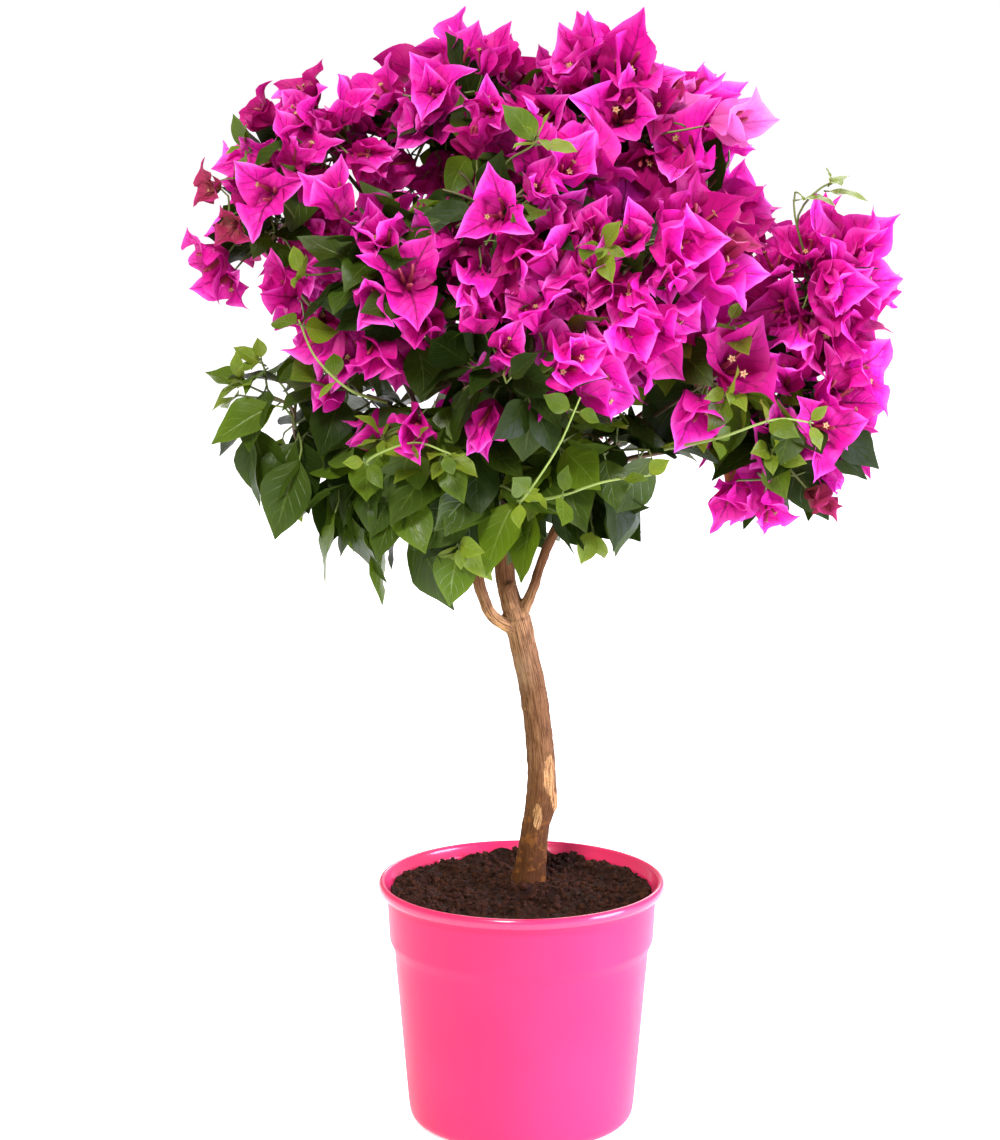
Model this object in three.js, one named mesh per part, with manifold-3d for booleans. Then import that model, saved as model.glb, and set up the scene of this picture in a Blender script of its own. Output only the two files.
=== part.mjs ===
// A bougainvillea grown as a small standard tree: one bare woody stem in a round plastic pot of soil, forking
// into five boughs under a crown of leaves and papery bracts. Millimetres, +Z up, the front faces -Y.
// The origin is the centre of the pot's flat underside.
import * as THREE from "three";
import { mergeVertices } from "three/addons/utils/BufferGeometryUtils.js";
import Module from "manifold-3d";

const wasm = await Module();
wasm.setup();

const at = (x, y, z) => new THREE.Vector3(x, y, z);

// ---------------------------------------------------------------- driving dimensions

const CLEARANCE = 0.3; // between two pieces that meet

const POT = {
  height: 156,
  lipRadius: 90, // outside of the rolled lip
  lipHeight: 7,
  collarTopRadius: 84.6, // the plain band under the lip
  collarFootRadius: 83,
  collarFoot: 118,
  bodyTopRadius: 80,
  bodyTop: 111.5,
  baseRadius: 71,
  edgeRadius: 8, // round edge under the wall
  wall: 2.4,
  floor: 3,
  sides: 36,
};

const SOIL = {
  level: 144,
  mound: 3.7, // it rises this much to the foot of the trunk
  moundReach: 24,
  lump: 1.5,
  rings: 6,
  sides: 18,
};

const GROUND = SOIL.level + SOIL.mound; // soil height at the foot of the trunk

const WOOD = {
  foot: at(5, 22, GROUND),
  start: at(4.6, 22, GROUND - 6), // the trunk's line starts below the soil, where a flat cut ends the solid
  line: [at(8.6, 22, 181), at(13, 21, 206), at(8.6, 18, 264), at(1.8, 16, 299), at(-3.5, 15, 323)],
  radius: 9,
  topRadius: 8.4,
  flare: 2, // added at the foot
  flareReach: 14,
  knee: { height: 203, swell: 0.8, reach: 12 },
  sides: 12,
  rings: 14,
};

// Each bough: the middle line of its path, and its radius at the root and the tip.
const BOUGHS = {
  leader: {
    path: [at(-2.6, 15, 316), at(-10.2, 14, 348), at(-9.5, 14, 395), at(-4, 12, 440)],
    root: 6.9,
    tip: 4.8,
  },
  left: {
    path: [at(-4, 13, 313), at(-18, 9, 322.5), at(-26, 8, 341), at(-30, 6, 360), at(-42, 4, 394)],
    root: 4,
    tip: 3.6,
  },
  right: { path: [at(0, 14, 322), at(7, 9, 340), at(14, 8, 362), at(33, 6, 404)], root: 3.4, tip: 3.1 },
  back: { path: [at(-4, 18, 322), at(-9, 33, 350), at(-3, 54, 400)], root: 3.8, tip: 3.3 },
  front: { path: [at(-9, 11, 386), at(-9, -6, 402), at(-7, -34, 434)], root: 4, tip: 3.4 },
};
const BOUGH = { sides: 8, rings: 6 };

// Each mass of foliage: the bough that carries it, the middle and half-sizes of the space that it fills, and
// whether its twigs end in bracts or only in leaves.
const MASSES = {
  crest_left: { bough: "leader", middle: at(-38, 10, 636), reach: at(64, 64, 63), blooms: true },
  crest_right: { bough: "leader", middle: at(62, 5, 632), reach: at(64, 64, 61), blooms: true },
  shoulder_left: { bough: "leader", middle: at(-118, 4, 620), reach: at(60, 66, 46), blooms: true },
  shoulder_right: { bough: "leader", middle: at(112, 8, 588), reach: at(50, 66, 53), blooms: true },
  back_upper: { bough: "leader", middle: at(8, 108, 598), reach: at(76, 68, 64), blooms: true },
  heart: { bough: "leader", middle: at(2, 2, 545), reach: at(62, 50, 56), blooms: true },
  flank_left: { bough: "left", middle: at(-158, -2, 566), reach: at(54, 60, 52), blooms: true },
  low_left: { bough: "left", middle: at(-132, -14, 441), reach: at(62, 62, 66), blooms: false },
  skirt_left: { bough: "left", middle: at(-58, -58, 410), reach: at(60, 58, 66), blooms: false },
  back_left: { bough: "left", middle: at(-98, 92, 520), reach: at(66, 66, 66), blooms: true },
  flank_right: { bough: "right", middle: at(186, 2, 532), reach: at(48, 62, 50), blooms: true },
  low_right: { bough: "right", middle: at(166, -10, 446), reach: at(58, 66, 68), blooms: true },
  waist_right: { bough: "right", middle: at(108, -46, 486), reach: at(50, 60, 52), blooms: true },
  skirt_right: { bough: "right", middle: at(40, -52, 426), reach: at(60, 60, 54), blooms: false },
  back_right: { bough: "back", middle: at(112, 92, 506), reach: at(66, 66, 66), blooms: true },
  front_upper: { bough: "front", middle: at(-8, -84, 588), reach: at(70, 64, 58), blooms: true },
  front_left: { bough: "front", middle: at(-84, -80, 545), reach: at(66, 62, 66), blooms: true },
  front_right: { bough: "front", middle: at(67, -90, 552), reach: at(64, 62, 62), blooms: true },
  front_low: { bough: "front", middle: at(-5, -104, 496), reach: at(72, 58, 54), blooms: true },
  back_low: { bough: "back", middle: at(6, 110, 470), reach: at(74, 68, 62), blooms: true },
  skirt_back: { bough: "back", middle: at(-14, 66, 404), reach: at(70, 58, 50), blooms: false },
};

const CROWN_HEART = at(8, 5, 470); // twigs grow away from here

const STEM = {
  radius: 1.6,
  sides: 4,
  rings: 6,
  overhang: 0.7, // its axis starts this far outside the rim of its bough's end
  straight: 0.22, // it starts in the bough's direction, for this share of the way
  turned: 0.6, // and has turned to the middle of its mass by here
  past: 0.4, // it runs on beyond the middle by this share of the half-size
};
const TWIG = {
  radius: 1.3,
  sides: 3,
  whorl: 3, // how far the blades are from its tip
  back: 0.14, // it starts this share of the stem before the place that is nearest to its tip
  first: 0.35, // and between these shares of the stem
  last: 0.95,
  places: 20,
};
const ROOM = { wood: 1, stem: 0.7 }; // sprays keep this far from the boughs and from the other stems
const SPRAY = {
  most: 11, // in one mass
  offers: 260, // places that each mass tries
  scales: [1.35, 1.15, 1, 0.85, 0.7], // of the blades
  leans: [56, 76, 96, 116], // of the blades away from the twig, in degrees
  spins: [0, Math.PI / 3], // of the twig about its own line
  leastArea: 1.4, // of the blades that find room, in blades of scale 1
  seed: 4001,
  seedStep: 97,
};
const LEAF = { length: 56, width: 38, widest: 0.4, thick: 1.3, arch: 3.5, droop: 6 };
const BRACT = { length: 50, width: 42, widest: 0.42, thick: 1.2, arch: -3, droop: -4 };
const CELL_MARGIN = 0.4; // each mass stays this far inside its own cell of the crown

const COLOURS = { pot: 0xfb4f9c, soil: 0x3a241b, bark: 0x96704e, leaf: 0x3f7a22, bract: 0xe018b4 };

// ---------------------------------------------------------------- shared tools

// A repeatable stream of numbers from 0 to 1.
function seededRandom(seed) {
  let state = seed;
  const next = () => (state = (state * 48271) % 2147483647) / 2147483647;
  next();
  return next;
}

// A closed three.js geometry as a solid that can be joined and cut.
function solidFrom(geometry) {
  const bare = geometry.clone();
  bare.deleteAttribute("normal");
  bare.deleteAttribute("uv");
  const merged = mergeVertices(bare, 1e-4);
  const vertProperties = merged.attributes.position.array;
  const triVerts = new Uint32Array(merged.index.array);
  return new wasm.Manifold(new wasm.Mesh({ numProp: 3, vertProperties, triVerts }));
}

// A solid back as a three.js geometry. Only its largest body is kept, so that no loose scrap is left.
function geometryFrom(solid) {
  const bodies = solid.decompose().sort((a, b) => b.volume() - a.volume());
  const mesh = bodies[0].getMesh();
  const geometry = new THREE.BufferGeometry();
  geometry.setAttribute("position", new THREE.BufferAttribute(new Float32Array(mesh.vertProperties), 3));
  geometry.setIndex(new THREE.BufferAttribute(new Uint32Array(mesh.triVerts), 1));
  geometry.computeVertexNormals();
  return geometry;
}

function named(name, geometry, color, roughness) {
  const mesh = new THREE.Mesh(geometry, new THREE.MeshStandardMaterial({ color, roughness, metalness: 0 }));
  mesh.name = name;
  return mesh;
}

// A limb: a cylinder bent onto a curve, its radius given by the share of the way along.
function limbGeometry(curve, radiusAt, sides, rings, spin = 0) {
  const geometry = new THREE.CylinderGeometry(1, 1, 1, sides, rings, false, spin);
  const frames = curve.computeFrenetFrames(rings);
  const position = geometry.attributes.position;
  for (let i = 0; i < position.count; i++) {
    const ring = Math.round((position.getY(i) + 0.5) * rings);
    const point = curve.getPointAt(ring / rings);
    const radius = radiusAt(ring / rings);
    point.addScaledVector(frames.binormals[ring], position.getX(i) * radius);
    point.addScaledVector(frames.normals[ring], position.getZ(i) * radius);
    position.setXYZ(i, point.x, point.y, point.z);
  }
  return geometry;
}

const taper = (root, tip) => (share) => root + (tip - root) * share;

// ---------------------------------------------------------------- pot and soil

// Points of a profile on an arc, in (radius, height), with its angles in degrees.
function arc(radius, height, size, from, to, steps) {
  return Array.from({ length: steps + 1 }, (_, i) => {
    const angle = THREE.MathUtils.degToRad(from + ((to - from) * i) / steps);
    return new THREE.Vector2(radius + size * Math.cos(angle), height + size * Math.sin(angle));
  });
}

// The inside of the wall, from the floor up to the underside of the lip, set back by a gap.
function innerWall(gap) {
  const inset = POT.wall + gap;
  const floor = POT.floor + gap;
  return [
    ...arc(POT.baseRadius - inset - POT.edgeRadius, floor + POT.edgeRadius, POT.edgeRadius, -90, 0, 2),
    new THREE.Vector2(POT.bodyTopRadius - inset, POT.bodyTop),
    new THREE.Vector2(POT.collarFootRadius - inset, POT.collarFoot),
  ];
}

function potGeometry() {
  const { height, lipRadius, lipHeight, collarTopRadius, edgeRadius, wall, baseRadius } = POT;
  const bead = lipHeight / 2;
  const profile = [
    new THREE.Vector2(0, 0),
    ...arc(baseRadius - edgeRadius, edgeRadius, edgeRadius, -90, 0, 3),
    new THREE.Vector2(POT.bodyTopRadius, POT.bodyTop),
    new THREE.Vector2(POT.collarFootRadius, POT.collarFoot),
    new THREE.Vector2(collarTopRadius, height - lipHeight),
    ...arc(lipRadius - bead, height - bead, bead, -75, 150, 6),
    new THREE.Vector2(collarTopRadius - wall, height - lipHeight),
    ...innerWall(0).reverse(),
    new THREE.Vector2(0, POT.floor),
  ];
  return new THREE.LatheGeometry(profile, POT.sides).rotateX(Math.PI / 2);
}

// Height of the soil: lumpy, a little higher towards the trunk, and flat under the trunk's foot.
function soilHeight(x, y) {
  const { level, mound, moundReach, lump } = SOIL;
  const away = Math.hypot(x - WOOD.foot.x, y - WOOD.foot.y);
  const rise = mound * Math.exp(-((Math.max(0, away - moundReach / 2) / moundReach) ** 2));
  const lumps = Math.sin(x * 0.21 + 1.3) * Math.cos(y * 0.19 - 0.4) + 0.7 * Math.sin(x * 0.43 - y * 0.37);
  return level + rise + lump * lumps * THREE.MathUtils.smoothstep(away, moundReach / 2, moundReach);
}

function soilGeometry() {
  const { level, rings } = SOIL;
  const wall = innerWall(CLEARANCE);
  const collar = wall[wall.length - 1];
  const share = (level - collar.y) / (POT.height - POT.lipHeight - collar.y);
  const edge = collar.x + (POT.collarTopRadius - POT.collarFootRadius) * share - CLEARANCE;
  const top = Array.from({ length: rings }, (_, i) => new THREE.Vector2(edge * (1 - i / rings), level));
  const profile = [new THREE.Vector2(0, POT.floor + CLEARANCE), ...wall, ...top, new THREE.Vector2(0, level)];
  const geometry = new THREE.LatheGeometry(profile, SOIL.sides).rotateX(Math.PI / 2);
  const position = geometry.attributes.position;
  for (let i = 0; i < position.count; i++) {
    if (position.getZ(i) < level - 1) continue; // only the top is lumpy
    position.setZ(i, soilHeight(position.getX(i), position.getY(i)));
  }
  return geometry;
}

// ---------------------------------------------------------------- trunk and boughs

const trunkCurve = new THREE.CatmullRomCurve3([WOOD.start, ...WOOD.line]);

// The trunk's radius: an even taper, a swelling at the knee and a flare at the foot.
function trunkRadius(share) {
  const height = trunkCurve.getPointAt(share).z;
  const knee = WOOD.knee.swell * Math.exp(-(((height - WOOD.knee.height) / WOOD.knee.reach) ** 2));
  const flare = WOOD.flare * Math.exp(-Math.max(0, height - GROUND) / WOOD.flareReach);
  return taper(WOOD.radius, WOOD.topRadius)(share) + knee + flare;
}

// The trunk, or with extra a stouter one that cuts its boughs clear.
function trunkSolid(extra = 0) {
  const radiusAt = (share) => trunkRadius(share) + extra;
  const limb = solidFrom(limbGeometry(trunkCurve, radiusAt, WOOD.sides, WOOD.rings));
  const ground = new THREE.BoxGeometry(POT.lipRadius, POT.lipRadius, GROUND);
  ground.translate(WOOD.foot.x, WOOD.foot.y, GROUND / 2 + CLEARANCE);
  return limb.add(limb.translate(0, 0, extra)).subtract(solidFrom(ground));
}

function boughCurve(name) {
  return new THREE.CatmullRomCurve3(BOUGHS[name].path);
}

function boughSolid(name, extra = 0) {
  const { root, tip } = BOUGHS[name];
  const radiusAt = taper(root + extra, tip + extra);
  return solidFrom(limbGeometry(boughCurve(name), radiusAt, BOUGH.sides, BOUGH.rings));
}

// Every bough is cut back from the trunk and from the boughs named before it, so that their faces meet.
function boughSolids() {
  const cut = {};
  let wood = trunkSolid(CLEARANCE);
  for (const name of Object.keys(BOUGHS)) {
    cut[name] = boughSolid(name).subtract(wood);
    wood = wood.add(boughSolid(name, CLEARANCE));
  }
  return cut;
}

// ---------------------------------------------------------------- leaves and bracts

// A blade of eight faces: its root at the origin, its length along +Y and its upper side towards +Z.
function bladeGeometry(form, scale) {
  const geometry = new THREE.OctahedronGeometry(1, 0);
  const position = geometry.attributes.position;
  for (let i = 0; i < position.count; i++) {
    const [x, y, z] = [position.getX(i), position.getY(i), position.getZ(i)];
    const along = y > 0.5 ? 1 : y < -0.5 ? 0 : form.widest;
    const lift = y > 0.5 ? -form.droop : z * (form.thick / 2) + (Math.abs(z) > 0.5 ? form.arch : 0);
    position.setXYZ(i, x * (form.width / 2) * scale, along * form.length * scale, lift);
  }
  return geometry;
}

// A blade that leaves a point in a direction, its upper side as near to up as it can be.
function placedBlade(form, scale, root, direction, up) {
  const side = direction.clone().cross(up).normalize();
  const normal = side.clone().cross(direction);
  const placing = new THREE.Matrix4().makeBasis(side, direction, normal).setPosition(root);
  return bladeGeometry(form, scale).applyMatrix4(placing);
}

// ---------------------------------------------------------------- foliage

const massNames = Object.keys(MASSES);

// Where each stem starts: spaced round the end of its bough, in the order of the ways that the stems go and
// turned so that each starts near its own way.
function stemRoots(boughName) {
  const curve = boughCurve(boughName);
  const tip = curve.getPointAt(1);
  const along = curve.getTangentAt(1);
  const side = along.clone().cross(at(0, 1, 0)).normalize();
  const across = along.clone().cross(side);
  const bearing = (name) => {
    const way = MASSES[name].middle.clone().sub(tip);
    return Math.atan2(way.dot(across), way.dot(side));
  };
  const carried = massNames.filter((name) => MASSES[name].bough === boughName);
  carried.sort((a, b) => bearing(a) - bearing(b));
  const ring = BOUGHS[boughName].tip + STEM.overhang;
  const step = (2 * Math.PI) / carried.length;
  const off = (wave) => carried.reduce((sum, name, i) => sum + wave(bearing(name) - step * i), 0);
  const turn = Math.atan2(off(Math.sin), off(Math.cos));
  return carried.map((name, i) => {
    const angle = turn + step * i;
    const root = tip.clone().addScaledVector(along, CLEARANCE);
    root.addScaledVector(side, ring * Math.cos(angle)).addScaledVector(across, ring * Math.sin(angle));
    return { name, root, along };
  });
}

// The stem of a mass: out of its bough in the bough's own direction, then over to the mass and through it.
function stemCurve({ name, root, along }) {
  const { middle, reach } = MASSES[name];
  const outward = middle.clone().sub(CROWN_HEART).normalize();
  const end = middle.clone().add(outward.multiply(reach).multiplyScalar(STEM.past));
  const start = root.clone().addScaledVector(along, STEM.straight * root.distanceTo(middle));
  return new THREE.CubicBezierCurve3(root, start, root.clone().lerp(middle, STEM.turned), end);
}

function stemSolid(curve, extra = 0) {
  return solidFrom(limbGeometry(curve, () => STEM.radius + extra, STEM.sides, STEM.rings));
}

// How far a point lies inside the flat wall between two neighbouring cells of the crown.
function depthInCell(point, mass, other) {
  const weight = (m) => Math.cbrt(m.reach.x * m.reach.y * m.reach.z) ** 2;
  const power = (m) => point.distanceToSquared(m.middle) - weight(m);
  return (power(other) - power(mass)) / (2 * mass.middle.distanceTo(other.middle));
}

const insideReach = (point, mass) => point.clone().sub(mass.middle).divide(mass.reach).length() < 1;

// A mass's own space: the part of the crown that is nearer to it than to its neighbours.
function inSpace(point, mass) {
  const masses = Object.values(MASSES);
  if (!masses.some((any) => insideReach(point, any))) return false;
  return masses.every((other) => other === mass || depthInCell(point, mass, other) > CELL_MARGIN);
}

function keepsToSpace(geometry, mass) {
  const { array } = geometry.attributes.position;
  for (let i = 0; i < array.length; i += 3) {
    if (!inSpace(at(array[i], array[i + 1], array[i + 2]), mass)) return false;
  }
  return true;
}

const isClear = (solid, others) => others.every((other) => solid.intersect(other).isEmpty());

// Three blades round the end of a twig, one out of each of its three faces.
function whorl(curve, form, scale, leanDegrees, spin) {
  const { tangents, normals, binormals } = curve.computeFrenetFrames(1);
  const [along, across, aside] = [tangents, normals, binormals].map((ways) => ways[1]);
  const root = curve.getPointAt(1).addScaledVector(along, -TWIG.whorl);
  const lean = THREE.MathUtils.degToRad(leanDegrees);
  return [1, 3, 5].map((face) => {
    const angle = (face * Math.PI) / 3 + spin;
    const out = aside.clone().multiplyScalar(Math.sin(angle)).addScaledVector(across, Math.cos(angle));
    const way = along.clone().multiplyScalar(Math.cos(lean)).addScaledVector(out, Math.sin(lean));
    return placedBlade(form, scale, root, way, along);
  });
}

// The blades of the whorl that fills its mass's space best, of every size and lean that they may have.
function widestWhorl(curve, mass) {
  const form = mass.blooms ? BRACT : LEAF;
  let best = { blades: [], area: 0, spin: 0 };
  for (const scale of SPRAY.scales) {
    for (const lean of SPRAY.leans) {
      for (const spin of SPRAY.spins) {
        const blades = whorl(curve, form, scale, lean, spin).filter((blade) => keepsToSpace(blade, mass));
        const area = blades.length * scale ** 2;
        if (area > best.area) best = { blades, area, spin };
      }
    }
  }
  return best;
}

const middleOf = (geometry) => {
  geometry.computeBoundingBox();
  return geometry.boundingBox.getCenter(at(0, 0, 0));
};

// A spray: a twig that ends in a whorl of blades, or nothing where too little of it finds room.
function sprayPieces(mass, root, tip, grown, obstacles) {
  const curve = new THREE.LineCurve3(root, tip);
  const { blades, area, spin } = widestWhorl(curve, mass);
  const twig = limbGeometry(curve, () => TWIG.radius, TWIG.sides, 1, spin);
  if (area < SPRAY.leastArea || !keepsToSpace(twig, mass)) return null;
  const twigSolid = solidFrom(twig);
  if (!isClear(twigSolid, [obstacles, ...grown.blades.map((blade) => blade.solid)])) return null;
  const others = [obstacles, ...grown.twigs, ...grown.blades.map((blade) => blade.solid)];
  const clear = blades.map((blade) => ({ solid: solidFrom(blade), middle: middleOf(blade) }));
  const fitting = clear.filter((blade) => isClear(blade.solid, others));
  return fitting.length ? { twig: twigSolid, blades: fitting } : null;
}

// Places spread at random through a mass's own space.
function offeredPlaces(mass, random) {
  const across = () => 2 * random() - 1;
  const anywhere = () => at(across(), across(), across()).multiply(mass.reach).add(mass.middle);
  return Array.from({ length: SPRAY.offers }, anywhere).filter((place) => inSpace(place, mass));
}

// One mass: its stem, and sprays that branch from it to wherever the mass is emptiest, joined into one solid.
function massSolid(name, stem, obstacles) {
  const mass = MASSES[name];
  const places = offeredPlaces(mass, seededRandom(SPRAY.seed + SPRAY.seedStep * massNames.indexOf(name)));
  const grown = { twigs: [stemSolid(stem)], blades: [] };
  const filled = [stem.getPointAt(0.5), stem.getPointAt(0.75), stem.getPointAt(1)];
  const room = (place) => Math.min(...filled.map((point) => point.distanceTo(place)));
  while (places.length && grown.twigs.length <= SPRAY.most) {
    places.sort((a, b) => room(a) - room(b));
    const tip = places.pop();
    const pieces = sprayPieces(mass, stem.getPointAt(twigStart(stem, tip)), tip, grown, obstacles);
    if (!pieces) continue;
    grown.twigs.push(pieces.twig);
    grown.blades.push(...pieces.blades);
    filled.push(tip, ...pieces.blades.map((blade) => blade.middle));
  }
  return wasm.Manifold.union([...grown.twigs, ...grown.blades.map((blade) => blade.solid)]);
}

// A twig starts a little before the place on the stem that is nearest to its tip.
function twigStart(stem, tip) {
  const shares = Array.from({ length: TWIG.places + 1 }, (_, i) => i / TWIG.places);
  const away = (share) => stem.getPointAt(share).distanceTo(tip);
  const nearest = shares.reduce((best, share) => (away(share) < away(best) ? share : best));
  return THREE.MathUtils.clamp(nearest - TWIG.back, TWIG.first, TWIG.last);
}

function crownMeshes(boughs) {
  const stems = Object.keys(BOUGHS).flatMap(stemRoots);
  const stoutBoughs = (extra) => Object.keys(boughs).map((name) => boughSolid(name, extra));
  const wood = wasm.Manifold.union([trunkSolid(ROOM.wood), ...stoutBoughs(ROOM.wood)]);
  const ends = wasm.Manifold.union(stoutBoughs(CLEARANCE));
  return stems.map((stem) => {
    const others = stems.filter((s) => s !== stem).map((s) => stemSolid(stemCurve(s), ROOM.stem));
    const solid = massSolid(stem.name, stemCurve(stem), wasm.Manifold.union([wood, ...others]));
    const colour = MASSES[stem.name].blooms ? COLOURS.bract : COLOURS.leaf;
    return named(stem.name, geometryFrom(solid.subtract(ends)), colour, 0.55);
  });
}

// ---------------------------------------------------------------- the whole plant

const plant = new THREE.Group();
plant.name = "bougainvillea";
plant.add(named("pot", potGeometry(), COLOURS.pot, 0.3));
plant.add(named("soil", soilGeometry(), COLOURS.soil, 0.95));
plant.add(named("trunk", geometryFrom(trunkSolid()), COLOURS.bark, 0.85));
const boughs = boughSolids();
for (const [name, solid] of Object.entries(boughs)) {
  plant.add(named(`bough_${name}`, geometryFrom(solid), COLOURS.bark, 0.85));
}
plant.add(...crownMeshes(boughs));

export default plant;
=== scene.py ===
"""The looks of a bougainvillea that is grown as a small standard tree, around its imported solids.

One bare stem rises from a pink plastic pot of soil and forks into boughs. Stems, twigs, leaves and papery
bracts grow on from the boughs by the rule of the solids, which is written again here and carried to finer
twigs. Sizes are in millimetres, +Z is up and the front faces -Y. A mesh is made in metres.
"""

import itertools
import logging
import math
from collections.abc import Iterator
from dataclasses import dataclass, field
from enum import Enum

import bmesh
import bpy
import numpy as np
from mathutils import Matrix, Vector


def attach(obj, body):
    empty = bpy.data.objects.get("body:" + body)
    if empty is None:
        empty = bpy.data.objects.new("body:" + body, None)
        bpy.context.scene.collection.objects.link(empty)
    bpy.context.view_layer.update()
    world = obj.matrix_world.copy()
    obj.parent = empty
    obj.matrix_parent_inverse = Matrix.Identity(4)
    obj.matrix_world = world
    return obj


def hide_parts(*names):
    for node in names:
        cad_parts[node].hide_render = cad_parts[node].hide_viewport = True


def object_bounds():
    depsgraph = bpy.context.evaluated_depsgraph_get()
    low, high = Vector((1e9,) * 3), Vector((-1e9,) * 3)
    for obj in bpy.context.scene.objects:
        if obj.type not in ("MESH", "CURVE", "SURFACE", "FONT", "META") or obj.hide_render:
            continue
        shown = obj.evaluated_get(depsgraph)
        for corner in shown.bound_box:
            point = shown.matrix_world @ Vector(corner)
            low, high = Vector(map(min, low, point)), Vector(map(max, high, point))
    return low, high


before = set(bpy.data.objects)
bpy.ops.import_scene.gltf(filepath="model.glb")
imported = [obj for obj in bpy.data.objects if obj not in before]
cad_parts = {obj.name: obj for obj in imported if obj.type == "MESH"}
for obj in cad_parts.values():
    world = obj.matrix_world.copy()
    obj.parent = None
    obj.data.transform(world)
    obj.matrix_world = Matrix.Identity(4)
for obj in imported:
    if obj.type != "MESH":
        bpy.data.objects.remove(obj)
CAD_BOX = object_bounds()

log = logging.getLogger("bougainvillea")

MM = 0.001  # a millimetre in metres
UP = np.array([0.0, 0.0, 1.0])
OWN_MAP = "OFBake"  # the map that a piece's pattern lies on
LEAF_TURN = 2.4  # radians round a twig from one leaf to the next
ANY_TURN = 6.3  # a leaf's or bract's turn is picked from 0 to this

Array = np.ndarray
Socket = bpy.types.NodeSocket
Material = bpy.types.Material
Place = tuple[float, float, float]
Colour = tuple[float, float, float]
Span = tuple[float, float]  # a range that a number is picked from, or two ends
Spot = tuple[float, float, float]  # x, z and reach of a place in the crown, in the plane of the pot's middle


# -------- numbers and curves


def unit(ways: Array) -> Array:
    """Every vector made one long."""
    return ways / np.maximum(np.linalg.norm(ways, axis=-1, keepdims=True), 1e-9)


def across(ways: Array, up: Array) -> Array:
    """The part of up that is square to each way, made one long."""
    up = np.broadcast_to(up, ways.shape)
    return unit(up - np.sum(up * ways, axis=-1, keepdims=True) * ways)


def hashed(cells: Array) -> Array:
    """Repeatable numbers from 0 to 1 for points of whole numbers.

    Args:
        cells: the points, one a row.

    Returns:
        A number for each.
    """
    whole = cells.astype(np.int64)
    mixed = (whole[:, 0] * 73856093) ^ (whole[:, 1] * 19349663) ^ (whole[:, 2] * 83492791)
    mixed = ((mixed ^ (mixed >> 13)) * 1274126177) & 0x7FFFFFFF
    mixed = ((mixed ^ (mixed >> 15)) * 668265263) & 0x7FFFFFFF
    return mixed / 0x7FFFFFFF


def lumps(points: Array, size: float, seed: int = 0) -> Array:
    """Smooth noise from -1 to 1 whose lumps are of one size.

    Args:
        points: places in millimetres, one a row.
        size: the width of a lump.
        seed: picks another field of lumps.

    Returns:
        One number for each point.
    """
    field_step = 31.7
    scaled = points / size + field_step * seed
    cell = np.floor(scaled)
    part = scaled - cell
    part = part * part * (3 - 2 * part)
    total = np.zeros(len(points))
    for corner in itertools.product((0, 1), repeat=3):
        weight = np.prod(np.where(np.array(corner) == 1, part, 1 - part), axis=1)
        total += weight * hashed(cell + np.array(corner))
    return 2 * total - 1


def eased(values: Array, low: float, high: float) -> Array:
    """A smooth step from 0 at low to 1 at high."""
    share = np.clip((values - low) / (high - low), 0, 1)
    return share * share * (3 - 2 * share)


def source_random(seed: int) -> Iterator[float]:
    """The stream of numbers from 0 to 1 that the solids are grown by.

    Args:
        seed: where it starts.

    Returns:
        The numbers, without end.
    """
    factor, prime = 48271, 2147483647
    state = seed * factor % prime
    while True:
        state = state * factor % prime
        yield state / prime


class Path:
    """A curve through space, read by the share of its length."""

    NEAR = 0.01  # a heading is taken over this share to each side

    def __init__(self, samples: Array) -> None:
        """Keeps close samples of the curve and how far along each one is."""
        self.samples = samples
        steps = np.linalg.norm(np.diff(samples, axis=0), axis=1)
        self.along = np.concatenate([[0.0], np.cumsum(steps)])
        self.length = float(self.along[-1])

    @classmethod
    def through(cls, points: tuple[Place, ...], steps: int = 60) -> "Path":
        """A centripetal Catmull-Rom curve.

        Args:
            points: the points that it passes through.
            steps: samples between two of them.

        Returns:
            The curve.
        """
        knots = np.array(points, float)
        knots = np.vstack([2 * knots[0] - knots[1], knots, 2 * knots[-1] - knots[-2]])
        shares = np.linspace(0, 1, steps, endpoint=False)[:, None]
        parts = []
        for p0, p1, p2, p3 in zip(knots, knots[1:], knots[2:], knots[3:]):
            d0, d1, d2 = (np.linalg.norm(b - a) ** 0.5 for a, b in ((p0, p1), (p1, p2), (p2, p3)))
            leave = ((p1 - p0) / d0 - (p2 - p0) / (d0 + d1) + (p2 - p1) / d1) * d1
            arrive = ((p2 - p1) / d1 - (p3 - p1) / (d1 + d2) + (p3 - p2) / d2) * d1
            square = -3 * p1 + 3 * p2 - 2 * leave - arrive
            cube = 2 * p1 - 2 * p2 + leave + arrive
            parts.append(p1 + leave * shares + square * shares**2 + cube * shares**3)
        return cls(np.vstack([*parts, knots[-2]]))

    @classmethod
    def bent(cls, start: Array, lead: Array, pull: Array, end: Array, steps: int = 60) -> "Path":
        """A cubic Bezier curve from start to end."""
        t = np.linspace(0, 1, steps + 1)[:, None]
        s = 1 - t
        return cls(s**3 * start + 3 * s * s * t * lead + 3 * s * t * t * pull + t**3 * end)

    def at(self, shares: Array) -> Array:
        """The points at shares of the length."""
        places = np.atleast_1d(shares) * self.length
        return np.stack([np.interp(places, self.along, self.samples[:, i]) for i in range(3)], axis=1)

    def headings(self, shares: Array) -> Array:
        """The directions of the curve at shares of the length."""
        shares = np.atleast_1d(shares)
        ahead, behind = np.minimum(shares + self.NEAR, 1), np.maximum(shares - self.NEAR, 0)
        return unit(self.at(ahead) - self.at(behind))


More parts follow.
